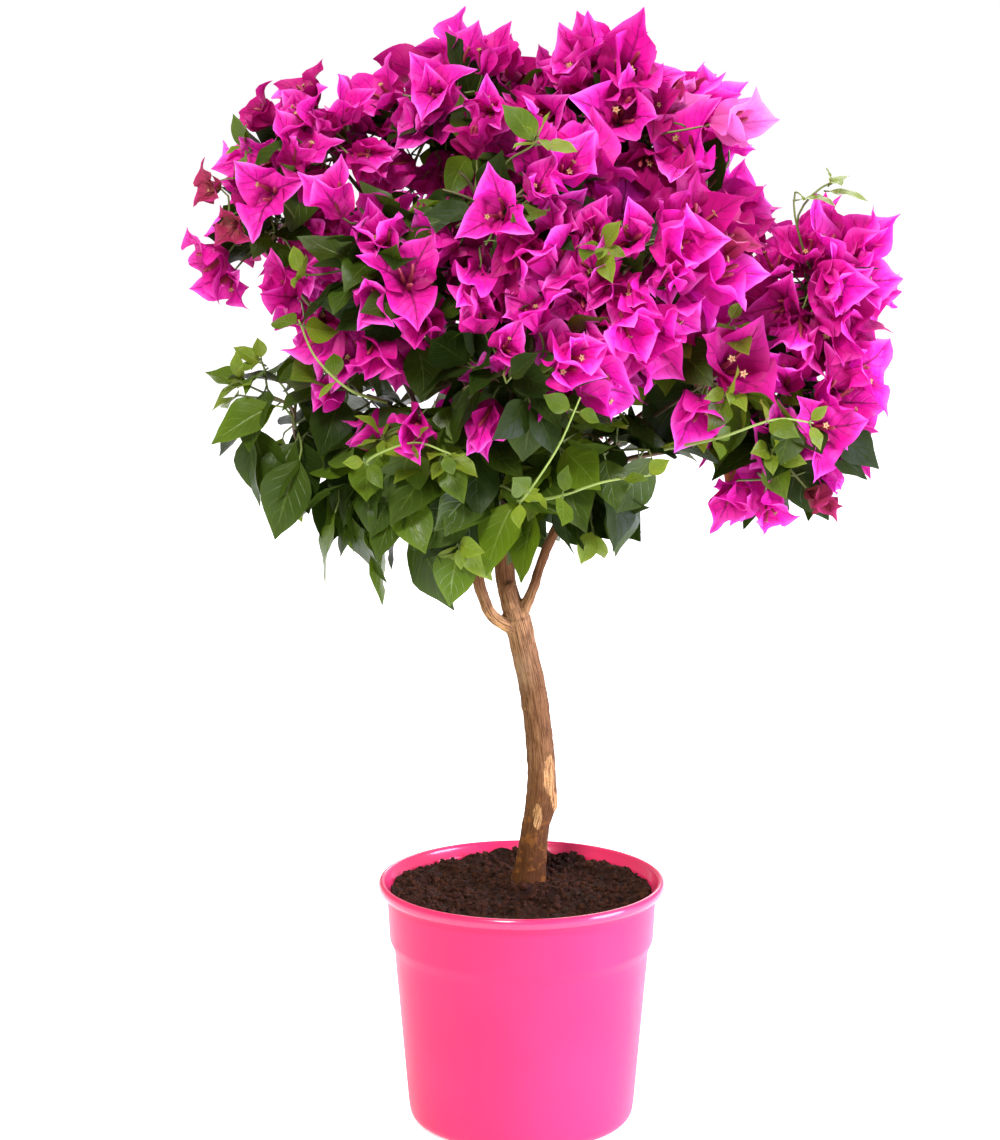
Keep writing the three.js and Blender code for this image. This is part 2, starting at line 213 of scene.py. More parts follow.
def carried_frames(headings: Array) -> tuple[Array, Array]:
    """Two directions square to a curve that don't turn about it.

    Args:
        headings: the directions of the curve, one a row.

    Returns:
        The first and the second direction at each of them.
    """
    first = np.zeros_like(headings)
    guide = np.array([0.0, -1.0, 0.0]) if abs(headings[0][1]) < 0.9 else np.array([1.0, 0.0, 0.0])
    for i, heading in enumerate(headings):
        guide = guide - np.dot(guide, heading) * heading
        guide = guide / max(np.linalg.norm(guide), 1e-9)
        first[i] = guide
    return first, np.cross(headings, first)


def beside(heading: Array, turn: float) -> Array:
    """A direction square to a heading, at a turn about it in radians."""
    first, second = carried_frames(heading[None])
    return first[0] * math.cos(turn) + second[0] * math.sin(turn)


# -------- meshes


class Gathered:
    """Many small surfaces that are joined into one mesh."""

    def __init__(self) -> None:
        """Starts with nothing."""
        self.points: list[Array] = []
        self.faces: list[Array] = []
        self.spots: list[Array] = []
        self.count = 0

    def add(self, points: Array, faces: Array, spots: Array) -> None:
        """Adds a surface.

        Args:
            points: its points.
            faces: rows of indices into them.
            spots: where each point lies on the pattern's map.
        """
        self.points.append(points)
        self.faces.append(faces + self.count)
        self.spots.append(spots)
        self.count += len(points)

    def grid(self, points: Array, spots: Array) -> None:
        """Adds sheets of rows and columns.

        Args:
            points: as (sheets, rows, columns, 3).
            spots: where the points of each sheet lie on the pattern's map, as (rows, columns, 2).
        """
        sheets, rows, columns = points.shape[:3]
        index = np.arange(rows * columns).reshape(rows, columns)
        quads = np.stack([index[:-1, :-1], index[:-1, 1:], index[1:, 1:], index[1:, :-1]], axis=-1)
        starts = np.arange(sheets)[:, None, None] * rows * columns
        quads = (quads.reshape(1, -1, 4) + starts).reshape(-1, 4)
        self.add(points.reshape(-1, 3), quads, np.tile(spots.reshape(-1, 2), (sheets, 1)))

    def tube(self, points: Array, radii: Array, sides: int, headings: Array | None = None) -> None:
        """Adds a tube.

        Args:
            points: its middle line.
            radii: its radius at each of them.
            sides: faces round it.
            headings: its direction at each of them, where it isn't the way to the next point.
        """
        if headings is None:
            headings = unit(np.gradient(points, axis=0))
        first, second = carried_frames(headings)
        angles = np.linspace(0, math.tau, sides + 1)[None, :, None]
        ring = np.cos(angles) * first[:, None] + np.sin(angles) * second[:, None]
        sheet = points[:, None] + ring * np.asarray(radii)[:, None, None]
        along = np.linspace(0, 1, len(points))
        spots = np.stack(np.meshgrid(np.linspace(0, 1, sides + 1), along), axis=-1)
        self.grid(sheet[None], spots)

    def piece(self, name: str, finish: Material) -> bpy.types.Object:
        """The joined mesh as an object, in metres.

        Args:
            name: the piece's name.
            finish: its material.

        Returns:
            The new object.
        """
        points = np.vstack(self.points) * MM
        faces = [row for block in self.faces for row in block.tolist()]
        mesh = bpy.data.meshes.new(name)
        mesh.from_pydata(points.tolist(), [], faces)
        mesh.polygons.foreach_set("use_smooth", np.ones(len(faces), bool))
        corners = np.zeros(len(mesh.loops), np.int32)
        mesh.loops.foreach_get("vertex_index", corners)
        pattern = mesh.uv_layers.new(name=OWN_MAP)
        pattern.data.foreach_set("uv", np.vstack(self.spots)[corners].astype(np.float32).ravel())
        mesh.materials.append(finish)
        mesh.update()
        piece = bpy.data.objects.new(name, mesh)
        bpy.context.scene.collection.objects.link(piece)
        return piece


class Slot(Enum):
    """The record's material slots."""

    POT = "pot_plastic"
    SOIL = "potting_soil"
    BARK = "bark"
    LEAVES = "leaves"
    BRACTS = "bracts"


def fit(piece: bpy.types.Object, slot: Slot, *nodes: str) -> None:
    """Makes a piece ride on the plant and stand for the nodes named.

    Args:
        piece: the piece.
        slot: its material slot; not used.
        nodes: the nodes of the solids that it replaces.
    """
    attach(piece, "root")
    if nodes:
        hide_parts(*nodes)
    triangles = sum(len(face.vertices) - 2 for face in piece.data.polygons)
    log.info("%s: %d triangles, stands for %d nodes", piece.name, triangles, len(nodes))


# -------- materials


class Term:
    """A number that changes over a surface, written as a Python expression."""

    def __init__(self, nodes: "Nodes", socket: Socket) -> None:
        """Keeps the output socket that gives the number."""
        self.nodes = nodes
        self.socket = socket

    def maths(self, operation: str, first: "Term | float", second: "Term | float") -> "Term":
        """A Math node of one operation on two values."""
        return self.nodes.term("ShaderNodeMath", {"operation": operation}, {0: first, 1: second})

    def __add__(self, other: "Term | float") -> "Term":
        """The sum."""
        return self.maths("ADD", self, other)

    def __sub__(self, other: "Term | float") -> "Term":
        """The difference."""
        return self.maths("SUBTRACT", self, other)

    def __rsub__(self, other: float) -> "Term":
        """The difference from a number."""
        return self.maths("SUBTRACT", other, self)

    def __mul__(self, other: "Term | float") -> "Term":
        """The product."""
        return self.maths("MULTIPLY", self, other)

    def __abs__(self) -> "Term":
        """The size without its sign."""
        return self.maths("ABSOLUTE", self, 0.0)

    __radd__ = __add__
    __rmul__ = __mul__

    def part(self) -> "Term":
        """What is left above the whole number."""
        return self.maths("FRACT", self, 0.0)

    def eased(self, low: float, high: float) -> "Term":
        """A smooth step from 0 where it is low to 1 where it is high.

        Args:
            low: the value where the step starts.
            high: the value where it ends.

        Returns:
            The step.
        """
        settings = {"interpolation_type": "SMOOTHSTEP"}
        inputs = {"Value": self, "From Min": low, "From Max": high}
        return self.nodes.term("ShaderNodeMapRange", settings, inputs)


class Nodes:
    """The nodes of a material or of the sky."""

    def __init__(self, tree: bpy.types.NodeTree) -> None:
        """Keeps the tree that nodes are added to."""
        self.tree = tree

    def node(self, kind: str, settings: dict | None = None, inputs: dict | None = None) -> bpy.types.Node:
        """Adds a node.

        Args:
            kind: its type.
            settings: its properties, set first; "stops" are the (place, colour) of a ramp's two ends.
            inputs: values or links of its sockets, by name or place.

        Returns:
            The node.
        """
        node = self.tree.nodes.new(kind)
        for key, value in (settings or {}).items():
            if key != "stops":
                setattr(node, key, value)
                continue
            for element, (place, colour) in zip(node.color_ramp.elements, value):
                element.position = place
                element.color = (*colour, 1)
        for key, value in (inputs or {}).items():
            socket = node.inputs[key]
            source = value.socket if isinstance(value, Term) else value
            if isinstance(source, Socket):
                self.tree.links.new(source, socket)
            elif isinstance(source, tuple) and socket.type == "RGBA":
                socket.default_value = (*source, 1)
            else:
                socket.default_value = source
        return node

    def term(self, kind: str, settings: dict, inputs: dict, output: int | str = 0) -> Term:
        """Adds a node and gives one of its outputs as a number."""
        return Term(self, self.node(kind, settings, inputs).outputs[output])

    def mixed(self, share: "Term | float", low: object, high: object) -> Socket:
        """A colour between two colours, by a share."""
        inputs = {0: share, 6: low, 7: high}
        return self.node("ShaderNodeMix", {"data_type": "RGBA"}, inputs).outputs[2]


class Recipe(Nodes):
    """The nodes of one material."""

    def __init__(self, name: str) -> None:
        """Starts an empty material."""
        self.material = bpy.data.materials.new(name)
        self.material.use_nodes = True
        super().__init__(self.material.node_tree)
        self.tree.nodes.clear()

    def place(self) -> Socket:
        """The place on the object, in metres."""
        return self.node("ShaderNodeTexCoord").outputs["Object"]

    def height(self) -> Term:
        """The height of the place on the object, in metres."""
        return self.term("ShaderNodeSeparateXYZ", {}, {0: self.place()}, 2)

    def spot(self) -> Socket:
        """The place on the pattern's own map."""
        return self.node("ShaderNodeUVMap", {"uv_map": OWN_MAP}).outputs[0]

    def map_terms(self) -> tuple[Term, Term]:
        """The two directions of the pattern's own map, from 0 to 1."""
        apart = self.node("ShaderNodeSeparateXYZ", {}, {0: self.spot()})
        return Term(self, apart.outputs[0]), Term(self, apart.outputs[1])

    def noise(self, vector: Socket, scale: float, detail: int = 3, rough: float = 0.55) -> Term:
        """Noise over a vector, from 0 to 1."""
        inputs = {"Vector": vector, "Scale": scale, "Detail": detail, "Roughness": rough}
        return self.term("ShaderNodeTexNoise", {}, inputs)

    def vector(self, operation: str, first: object, second: Place = (0.0, 0.0, 0.0)) -> bpy.types.Node:
        """A Vector Math node of one operation on two vectors."""
        return self.node("ShaderNodeVectorMath", {"operation": operation}, {0: first, 1: second})

    def stretched(self, vector: Socket, scale: Place) -> Socket:
        """A vector made longer or shorter along each axis."""
        return self.vector("MULTIPLY", vector, scale).outputs[0]

    def near(self, centre: Place, reach: Place) -> Term:
        """1 in the middle of an ellipsoid that is given in millimetres, and 0 outside it.

        Args:
            centre: its middle.
            reach: its half sizes.

        Returns:
            The number, from 0 to 1.
        """
        away = self.vector("SUBTRACT", self.place(), tuple(c * MM for c in centre)).outputs[0]
        scaled = self.stretched(away, tuple(1 / (r * MM) for r in reach))
        return 1 - Term(self, self.vector("LENGTH", scaled).outputs["Value"]).eased(0, 1)

    def bumps(self, height: Term, distance: float, strength: float = 1) -> Socket:
        """A Bump node's normal for a height from 0 to 1, its distance in millimetres."""
        inputs = {"Strength": strength, "Distance": distance * MM, "Height": height}
        return self.node("ShaderNodeBump", {}, inputs).outputs[0]

    def surface(
        self,
        colour: Socket,
        rough: Term | float,
        relief: Socket | None = None,
        gloss: float = 0.5,
        more: dict | None = None,
        glow: Colour | None = None,
        share: float = 0.3,
    ) -> Material:
        """Ends the material.

        Args:
            colour: its base colour.
            rough: its roughness.
            relief: its normal, or None where it is smooth.
            gloss: its specular level.
            more: other inputs of the Principled shader, by name.
            glow: the colour of light that shines through, for a thin blade.
            share: how much of the light shines through.

        Returns:
            The material.
        """
        inputs = {"Base Color": colour, "Roughness": rough, "Specular IOR Level": gloss} | (more or {})
        if relief is not None:
            inputs["Normal"] = relief
        shader = self.node("ShaderNodeBsdfPrincipled", {}, inputs).outputs[0]
        if glow:
            through = self.node("ShaderNodeBsdfTranslucent", {}, {"Color": glow}).outputs[0]
            shader = self.node("ShaderNodeMixShader", {}, {0: share, 1: shader, 2: through}).outputs[0]
        self.node("ShaderNodeOutputMaterial", {}, {"Surface": shader})
        return self.material


@dataclass(frozen=True)
class BladeFinish:
    """One shade of leaf or bract: its colours from the stalk to the tip, its veins and its gloss."""

    name: str
    foot: Colour
    body: Colour
    tip: Colour
    vein: Colour
    glow: Colour
    through: float = 0.3
    roughness: float = 0.45
    vein_share: float = 0.7
    gloss: float = 0.16
    ribs: float = 6.0

    def material(self) -> Material:
        """Makes the finish: a midrib, side veins and a soft change of colour along the blade."""
        recipe = Recipe(self.name)
        u, v = recipe.map_terms()
        off = abs(u - 0.5) * 2
        # from the foot colour at the stalk into the body; in the bracts the darker foot is painted shade of
        # the throat
        body = recipe.mixed(v.eased(0.04, 0.5), self.foot, self.body)
        body = recipe.mixed((v * 0.7 + off * 0.4).eased(0.6, 1.05), body, self.tip)
        midrib = 1 - (off + v * 0.02).eased(0.02, 0.09)
        wave = abs((v * self.ribs - off * self.ribs * 0.34).part() - 0.5)
        side = (1 - wave.eased(0.02, 0.11)) * (1 - off.eased(0.55, 0.95)) * 0.55
        veins = midrib * (1 - v.eased(0.8, 1)) + side
        spot = recipe.spot()
        mottle = recipe.noise(spot, 5, 4, 0.6)
        body = recipe.mixed((mottle - 0.5) * 0.5, body, self.tip)
        wrinkles = recipe.noise(spot, 13, 3, 0.6)
        relief = recipe.bumps((1 - veins) * 0.6 + mottle * 0.3 + wrinkles * 0.4, 0.7, 0.8)
        body = recipe.mixed(wrinkles.eased(0.5, 0.75) * 0.22, body, self.tip)
        colour = recipe.mixed(veins * self.vein_share, body, self.vein)
        rough = self.roughness + (mottle - 0.5) * 0.15
        return recipe.surface(colour, rough, relief, self.gloss, glow=self.glow, share=self.through)


@dataclass(frozen=True)
class TwigFinish:
    """The skin of stems and twigs, from the foot of each one to its tip."""

    name: str
    foot: Colour
    tip: Colour
    fleck: Colour
    roughness: float

    def material(self) -> Material:
        """Makes the finish: a skin that changes along the twig, with long flecks."""
        recipe = Recipe(self.name)
        _, v = recipe.map_terms()
        spot = recipe.spot()
        grain = recipe.noise(recipe.stretched(spot, (9.0, 2.5, 1.0)), 3, 4, 0.6)
        colour = recipe.mixed(v.eased(0.1, 0.9), self.foot, self.tip)
        colour = recipe.mixed(grain.eased(0.52, 0.72) * 0.6, colour, self.fleck)
        relief = recipe.bumps(grain, 0.25, 0.6)
        return recipe.surface(colour, self.roughness + grain * 0.15, relief)


@dataclass(frozen=True)
class PlasticFinish:
    """Glossy pink plastic with a fine moulded skin and a faint painted glow."""

    name: str = "pink_plastic"
    body: Colour = (0.69, 0.030, 0.124)
    deep: Colour = (0.65, 0.023, 0.103)
    scuff: Colour = (0.80, 0.075, 0.22)
    painted_glow: Colour = (0.95, 0.0, 0.08)  # painted glow: an emission that stands in for the light that comes through its walls
    glossy_from: Span = (0.1478, 0.1505)  # it turns glossy over these heights, in metres

    def material(self) -> Material:
        """Makes the finish."""
        recipe = Recipe(self.name)
        place = recipe.place()
        cloud = recipe.noise(place, 9, 2)
        grain = recipe.noise(place, 900, 2)
        handled = recipe.noise(recipe.stretched(place, (1.0, 1.0, 0.25)), 60, 5, 0.7)
        colour = recipe.mixed(cloud.eased(0.3, 0.75), self.deep, self.body)
        colour = recipe.mixed(handled.eased(0.66, 0.8) * 0.12, colour, self.scuff)
        rough = 0.36 + handled.eased(0.45, 0.8) * 0.08
        relief = recipe.bumps(grain * 0.3 + cloud * 0.7, 0.12, 0.5)
        # painted glow: a faint pink emission over the whole pot, for light through its walls
        more = {"Emission Color": self.painted_glow, "Emission Strength": 0.1, "Coat Roughness": 0.12}
        more["Coat Weight"] = recipe.height().eased(*self.glossy_from) * 0.75
        return recipe.surface(colour, rough, relief, 0.16, more)


@dataclass(frozen=True)
class SoilFinish:
    """Moist, peaty potting soil."""

    name: str
    dark: Colour
    light: Colour

    def material(self) -> Material:
        """Makes the finish: crumbs of several browns, a little shiny where they are wet."""
        recipe = Recipe(self.name)
        place = recipe.place()
        crumbs = recipe.noise(place, 260, 6, 0.7)
        patches = recipe.noise(place, 40, 3)
        colour = recipe.mixed(crumbs.eased(0.35, 0.7), self.dark, self.light)
        colour = recipe.mixed(patches.eased(0.4, 0.7) * 0.5, colour, self.dark)
        relief = recipe.bumps(crumbs, 0.8)
        return recipe.surface(colour, 0.8 + crumbs * 0.15, relief, 0.15)


@dataclass(frozen=True)
class BarkFinish:
    """Thin tan bark with long cracks, darker near the soil, with painted shade of the crown on the boughs,
    and scars that show the orange wood.
    """

    name: str = "tan_bark"
    ridge: Colour = (0.43, 0.236, 0.098)
    crack: Colour = (0.085, 0.040, 0.018)
    foot: Colour = (0.074, 0.026, 0.007)
    rust: Colour = (0.26, 0.10, 0.022)
    smooth: Colour = (0.42, 0.27, 0.14)
    scar: Colour = (0.46, 0.19, 0.045)
    pith: Colour = (0.62, 0.42, 0.19)
    low_dark: float = 0.38  # the foot's colour near the soil, as a share that is added to the next
    stem_dark: float = 0.58  # its share up to the fork
    bough_painted_shade: float = 0.84  # painted shade of the crown: the foot's colour's share on the boughs
    smooth_spot: tuple[Place, Place] = ((-2, 8, 286), (14, 14, 19))
    scars: tuple[tuple[Place, Place], ...] = (  # the middle and the reach of each
        ((18.5, 12, 219), (8, 10, 24)),
        ((10, 11.5, 192), (5.5, 8, 16)),
        ((15, 9, 181), (3, 8, 9)),
        ((21.5, 17, 200), (5, 10, 10)),
        ((-17, 8, 325), (11, 10, 8)),
        ((-2, 8, 262), (12, 9, 4)),
        ((-12, 7, 316), (8, 9, 8)),
    )

    def material(self) -> Material:
        """Makes the finish. The grain runs along each limb by the mesh's own fibre attribute."""
        recipe = Recipe(self.name)
        fibre = recipe.node("ShaderNodeAttribute", {"attribute_name": "fibre"}).outputs["Vector"]
        height = recipe.height()
        long_grain = recipe.noise(recipe.stretched(fibre, (1.0, 1.0, 0.055)), 1.25, 6, 0.68)
        patches = recipe.noise(fibre, 0.16, 4, 0.6)
        specks = recipe.noise(fibre, 1.6, 3)
        worn = recipe.mixed(long_grain.eased(0.36, 0.62), self.crack, self.ridge)
        worn = recipe.mixed(patches.eased(0.42, 0.75) * 0.45, worn, self.foot)
        low = (1 - height.eased(0.15, 0.25)) * self.low_dark + (1 - height.eased(0.27, 0.32)) * self.stem_dark
        worn = recipe.mixed(low, worn, self.foot)
        # painted shade: the boughs under the crown turn towards the foot's colour
        worn = recipe.mixed(height.eased(0.32, 0.35) * self.bough_painted_shade, worn, self.foot)
        rust = (1 - height.eased(0.19, 0.225)) * patches.eased(0.5, 0.62) * 0.6
        worn = recipe.mixed(rust, worn, self.rust)
        smooth = recipe.near(*self.smooth_spot) * patches.eased(0.3, 0.5)
        worn = recipe.mixed(smooth * 0.5, worn, self.smooth)
        bare = recipe.near(*self.scars[0])
        for centre, reach in self.scars[1:]:
            bare = bare + recipe.near(centre, reach)
        ragged = recipe.noise(recipe.stretched(fibre, (1.0, 1.0, 0.4)), 0.42, 4, 0.7)
        torn = (bare * 1.9 - ragged * 1.35).eased(0.0, 0.22)
        orange = recipe.mixed(specks.eased(0.35, 0.65), self.scar, self.pith)
        orange = recipe.mixed(long_grain.eased(0.35, 0.6), self.foot, orange)
        colour = recipe.mixed(torn * 0.9, worn, orange)
        relief = recipe.bumps(long_grain * 0.75 + specks * 0.25, 0.7)
        return recipe.surface(colour, 0.72 + specks * 0.2, relief, 0.1)


# -------- the pot and its soil


@dataclass
class Pot:
    """A round moulded pot with a rolled lip, a plain collar and a step under it."""

    height: float = 156
    lip_radius: float = 90
    lip_height: float = 7
    lip_squeeze: float = 0.66
    collar_top: float = 84.6
    collar_foot: float = 83
    collar_foot_height: float = 118
    body_top: float = 80
    body_top_height: float = 111.5
    base_radius: float = 71
    edge: float = 8
    wall: float = 2.4
    floor: float = 3
    hub: float = 20  # how far the plain middle of the underside reaches
    wall_from: float = 12  # where the straight wall starts over its rounded edge
    step_curve: tuple[Span, ...] = ((0.1, -0.4), (0.55, 0.7), (-0.6, -1.2), (-0.08, -0.1))  # off its ends
    inner_step: tuple[Span, Span] = ((77.6, 111.5), (80.6, 118.0))
    lip_turn: Span = (-75, 168)  # the degrees that the lip's section goes round
    seam: float = 0.02  # points closer than this are one
    sides: int = 180
    finish: PlasticFinish = field(default_factory=PlasticFinish)

    def arc(self, radius: float, height: float, size: float, turn: Span, steps: int) -> list[Span]:
        """Points of the profile on an arc, its angles in degrees."""
        angles = np.radians(np.linspace(*turn, steps + 1))
        return [(radius + size * math.cos(a), height + size * math.sin(a)) for a in angles]

    def line(self, start: Span, end: Span, steps: int) -> list[Span]:
        """Points of the profile on a straight line, without its end."""
        return [tuple(np.array(start) + (np.array(end) - start) * i / steps) for i in range(steps)]

    def profile(self) -> list[Span]:
        """The section from the middle of the underside, up the outside and down the inside to the floor."""
        lip = self.lip_height / 2
        collar = (self.collar_top, self.height - self.lip_height - 0.6)
        under, over = (self.body_top, self.body_top_height), (self.collar_foot, self.collar_foot_height)
        ends = (under, under, over, over)
        flat, inset = self.base_radius - self.edge, self.base_radius - self.wall
        outside = [
            (0.0, 0.0),
            *self.line((self.hub, 0.0), (flat, 0.0), 4),
            *self.arc(flat, self.edge, self.edge, (-90, -4), 8),
            *self.line((self.base_radius + 0.6, self.wall_from), (under[0] - 0.1, under[1] - 2.5), 16),
            *((end[0] + x, end[1] + z) for end, (x, z) in zip(ends, self.step_curve)),
            *self.line((over[0] + 0.1, over[1] + 1.6), collar, 8),
            collar,
        ]
        mouth = (self.collar_top - self.wall, self.height - self.lip_height)
        inside = [
            (mouth[0] + 0.5, mouth[1] + 0.8),
            *self.line(mouth, self.inner_step[1], 8),
            *self.line(self.inner_step[0], (inset, self.wall_from), 8),
            *self.arc(inset - self.edge, self.floor + self.edge, self.edge, (0, -90), 5),
            (0.0, self.floor),
        ]
        wide = lip * self.lip_squeeze
        round_lip = self.arc(0, self.height - lip, lip, self.lip_turn, 18)
        rim = ((x * self.lip_squeeze + self.lip_radius - wide, z) for x, z in round_lip)
        return [*outside, *rim, *inside]

    def build(self) -> None:
        """Turns the profile about the middle of the pot."""
        profile = np.array(self.profile())
        angles = np.linspace(0, math.tau, self.sides + 1)
        around = np.stack([np.cos(angles), np.sin(angles)], axis=1)
        sheet = np.zeros((len(profile), self.sides + 1, 3))
        sheet[:, :, :2] = profile[:, None, :1] * around[None]
        sheet[:, :, 2] = profile[:, None, 1]
        along = np.concatenate([[0.0], np.cumsum(np.linalg.norm(np.diff(profile, axis=0), axis=1))])
        spots = np.stack(np.meshgrid(np.linspace(0, 1, self.sides + 1), along / along[-1]), axis=-1)
        gathered = Gathered()
        gathered.grid(sheet[None], spots)
        piece = gathered.piece("pink_pot", self.finish.material())
        self.weld(piece)
        fit(piece, Slot.POT, "pot")

    def weld(self, piece: bpy.types.Object) -> None:
        """Closes the seam and the two poles."""
        piece.modifiers.new("weld", "WELD").merge_threshold = self.seam * MM
        applied(piece)


def applied(piece: bpy.types.Object) -> None:
    """Puts a piece's modifiers into its mesh.

    Args:
        piece: the piece.
    """
    graph = bpy.context.evaluated_depsgraph_get()
    mesh = bpy.data.meshes.new_from_object(piece.evaluated_get(graph))
    piece.modifiers.clear()
    old, piece.data = piece.data, mesh
    name = old.name
    bpy.data.meshes.remove(old)
    mesh.name = name


@dataclass
class Soil:
    """The crumbly soil in the pot."""

    level: float = 144
    mound: float = 3.7
    mound_reach: float = 24
    reach: float = 82.0
    rings: int = 92
    sides: int = 240
    crumbs: int = 1900
    collar_crumbs: int = 110  # of them round the foot of the trunk
    collar_ring: Span = (9.6, 14)
    map_width: float = 170  # what the pattern's map covers
    clear: float = 11.5  # other crumbs keep this far from the trunk's middle
    crumb_sizes: tuple[float, ...] = (0.8, 1.2, 1.7, 2.4)
    crumb_shares: tuple[float, ...] = (0.4, 0.34, 0.2, 0.06)
    foot: Span = (5.0, 22.0)
    side: tuple[Span, ...] = (  # radius and height of its side, from the top down to the pot's floor
        (81.4, 134.0), (80.2, 118.5), (77.2, 111.0), (69.0, 12.0), (60.5, 3.6), (1.5, 3.4),
    )
    heaps: tuple[tuple[float, float, Span, Span], ...] = (  # rise, radius where it starts, way, ends along it
        (5.5, 40, (-0.8, 0.35), (-20, 60)),
        (4.5, 48, (0.7, 0.7), (20, 75)),
    )
    roughness: tuple[Span, ...] = ((2.0, 10), (1.5, 4.4), (1.0, 2.2))  # height and width of lumps
    seed: int = 71
    finish: SoilFinish = SoilFinish("peaty_soil", (0.011, 0.0036, 0.0018), (0.048, 0.016, 0.0072))
    crumb_finish: SoilFinish = SoilFinish("soil_crumbs", (0.016, 0.0052, 0.0024), (0.074, 0.025, 0.011))

    def height(self, x: Array, y: Array) -> Array:
        """How high the soil is: the source's mound and lumps, and crumbs of two sizes on them.

        Args:
            x: the places across.
            y: the places in depth.

        Returns:
            A height for each place.
        """
        away = np.hypot(x - self.foot[0], y - self.foot[1])
        half = self.mound_reach / 2
        mound = self.mound * np.exp(-(np.maximum(0, away - half) ** 2) / self.mound_reach**2)
        slow = np.sin(x * 0.21 + 1.3) * np.cos(y * 0.19 - 0.4) + 0.7 * np.sin(x * 0.43 - y * 0.37)
        flat = np.stack([x, y, np.zeros_like(x)], axis=-1).reshape(-1, 3)
        rim = np.hypot(x, y)
        heap = np.zeros_like(x)
        for rise, start, way, ends in self.heaps:
            heap = heap + rise * eased(rim, start, 80) * eased(x * way[0] + y * way[1], *ends)
        rough = np.zeros(len(flat))
        for number, (rise, width) in enumerate(self.roughness, 1):
            rough = rough + rise * lumps(flat, width, number)
        spread = eased(away, half, self.mound_reach)
        smooth = self.level + mound + heap + 1.1 * slow * spread
        return smooth + rough.reshape(x.shape) * (0.35 + 0.65 * spread)

    def bed(self) -> None:
        """The soil's top and its sides down to the pot's floor."""
        radii = self.reach * np.sqrt(np.linspace(0.0004, 1, self.rings))
        angles = np.linspace(0, math.tau, self.sides + 1)
        x, y = radii[:, None] * np.cos(angles), radii[:, None] * np.sin(angles)
        top = np.stack([x, y, self.height(x, y)], axis=-1)
        ring = np.stack([np.cos(angles), np.sin(angles), np.ones_like(angles)], axis=-1)
        side = (ring[None] * (radius, radius, height) for radius, height in self.side)
        sheet = np.concatenate([top, *side])
        spots = 0.5 + sheet[..., :2] / self.map_width
        spots[len(radii):, :, 0] = np.linspace(0, 1, self.sides + 1)
        gathered = Gathered()
        gathered.grid(sheet[None], spots)
        fit(gathered.piece("soil_bed", self.finish.material()), Slot.SOIL, "soil")

    def scatter(self) -> None:
        """Loose crumbs that lie on the soil."""
        random = np.random.default_rng(self.seed)
        points, faces = self.crumb_form()
        gathered = Gathered()
        for i in range(self.crumbs):
            angle, share = random.uniform(0, math.tau), math.sqrt(random.uniform(0.001, 1))
            size = random.choice(self.crumb_sizes, p=self.crumb_shares) * random.uniform(0.8, 1.25)
            radius = min(share * 80.5, 81.0 - size)
            x, y = radius * math.cos(angle), radius * math.sin(angle)
            if i < self.collar_crumbs:
                radius = random.uniform(*self.collar_ring)
                x, y = self.foot[0] - 0.6 + radius * math.cos(angle), self.foot[1] + radius * math.sin(angle)
            elif math.hypot(x - self.foot[0], y - self.foot[1]) < self.clear:
                continue
            z = float(self.height(np.array([x]), np.array([y]))[0])
            shape = points * size * random.uniform(0.55, 1.4, 3)
            shape *= 1 + 0.5 * lumps(points * 3 + i * 7.3, 2.0)[:, None]
            turn = random.uniform(0, math.tau)
            cos, sin = math.cos(turn), math.sin(turn)
            shape = shape @ np.array([[cos, sin, 0], [-sin, cos, 0], [0, 0, 1]])
            spots = 0.5 + points[:, :2] * 0.49
            gathered.add(shape + np.array([x, y, z + size * 0.25]), faces, spots)
        fit(gathered.piece("soil_crumbs", self.crumb_finish.material()), Slot.SOIL)

    def crumb_form(self) -> tuple[Array, Array]:
        """A ball of 80 faces to make crumbs of: its points and faces."""
        form = bmesh.new()
        bmesh.ops.create_icosphere(form, subdivisions=2, radius=1)
        points = np.array([vertex.co[:] for vertex in form.verts])
        faces = np.array([[vertex.index for vertex in face.verts] for face in form.faces])
        form.free()
        return points, faces

    def build(self) -> None:
        """Makes the bed and the crumbs on it."""
        self.bed()
        self.scatter()


# -------- the wood


@dataclass(frozen=True)
class Limb:
    """One tapering limb: the points of its middle line and its radius at both ends."""

    points: tuple[Place, ...]
    root: float
    tip: float

    def path(self) -> Path:
        """Its middle line."""
        return Path.through(self.points)

    def radii(self, shares: Array) -> Array:
        """Its radius at shares of its length."""
        return self.root + (self.tip - self.root) * shares


GROUND = 147.7  # the soil's height at the foot of the trunk

TRUNK = Limb(
    ((4.6, 22, GROUND - 6), (8.6, 22, 181), (13, 21, 206), (8.6, 18, 264), (1.8, 16, 299), (-3.5, 15, 323)),
    9,
    8.4,
)

BOUGHS = {
    "leader": Limb(((-2.6, 15, 316), (-10.2, 14, 348), (-9.5, 14, 395), (-4, 12, 440)), 6.9, 4.8),
    "left": Limb(((-4, 13, 313), (-18, 9, 322.5), (-26, 8, 341), (-30, 6, 360), (-42, 4, 394)), 4, 3.6),
    "right": Limb(((0, 14, 322), (7, 9, 340), (14, 8, 362), (33, 6, 404)), 3.4, 3.1),
    "back": Limb(((-4, 18, 322), (-9, 33, 350), (-3, 54, 400)), 3.8, 3.3),
    "front": Limb(((-9, 11, 386), (-9, -6, 402), (-7, -34, 434)), 4, 3.4),
}


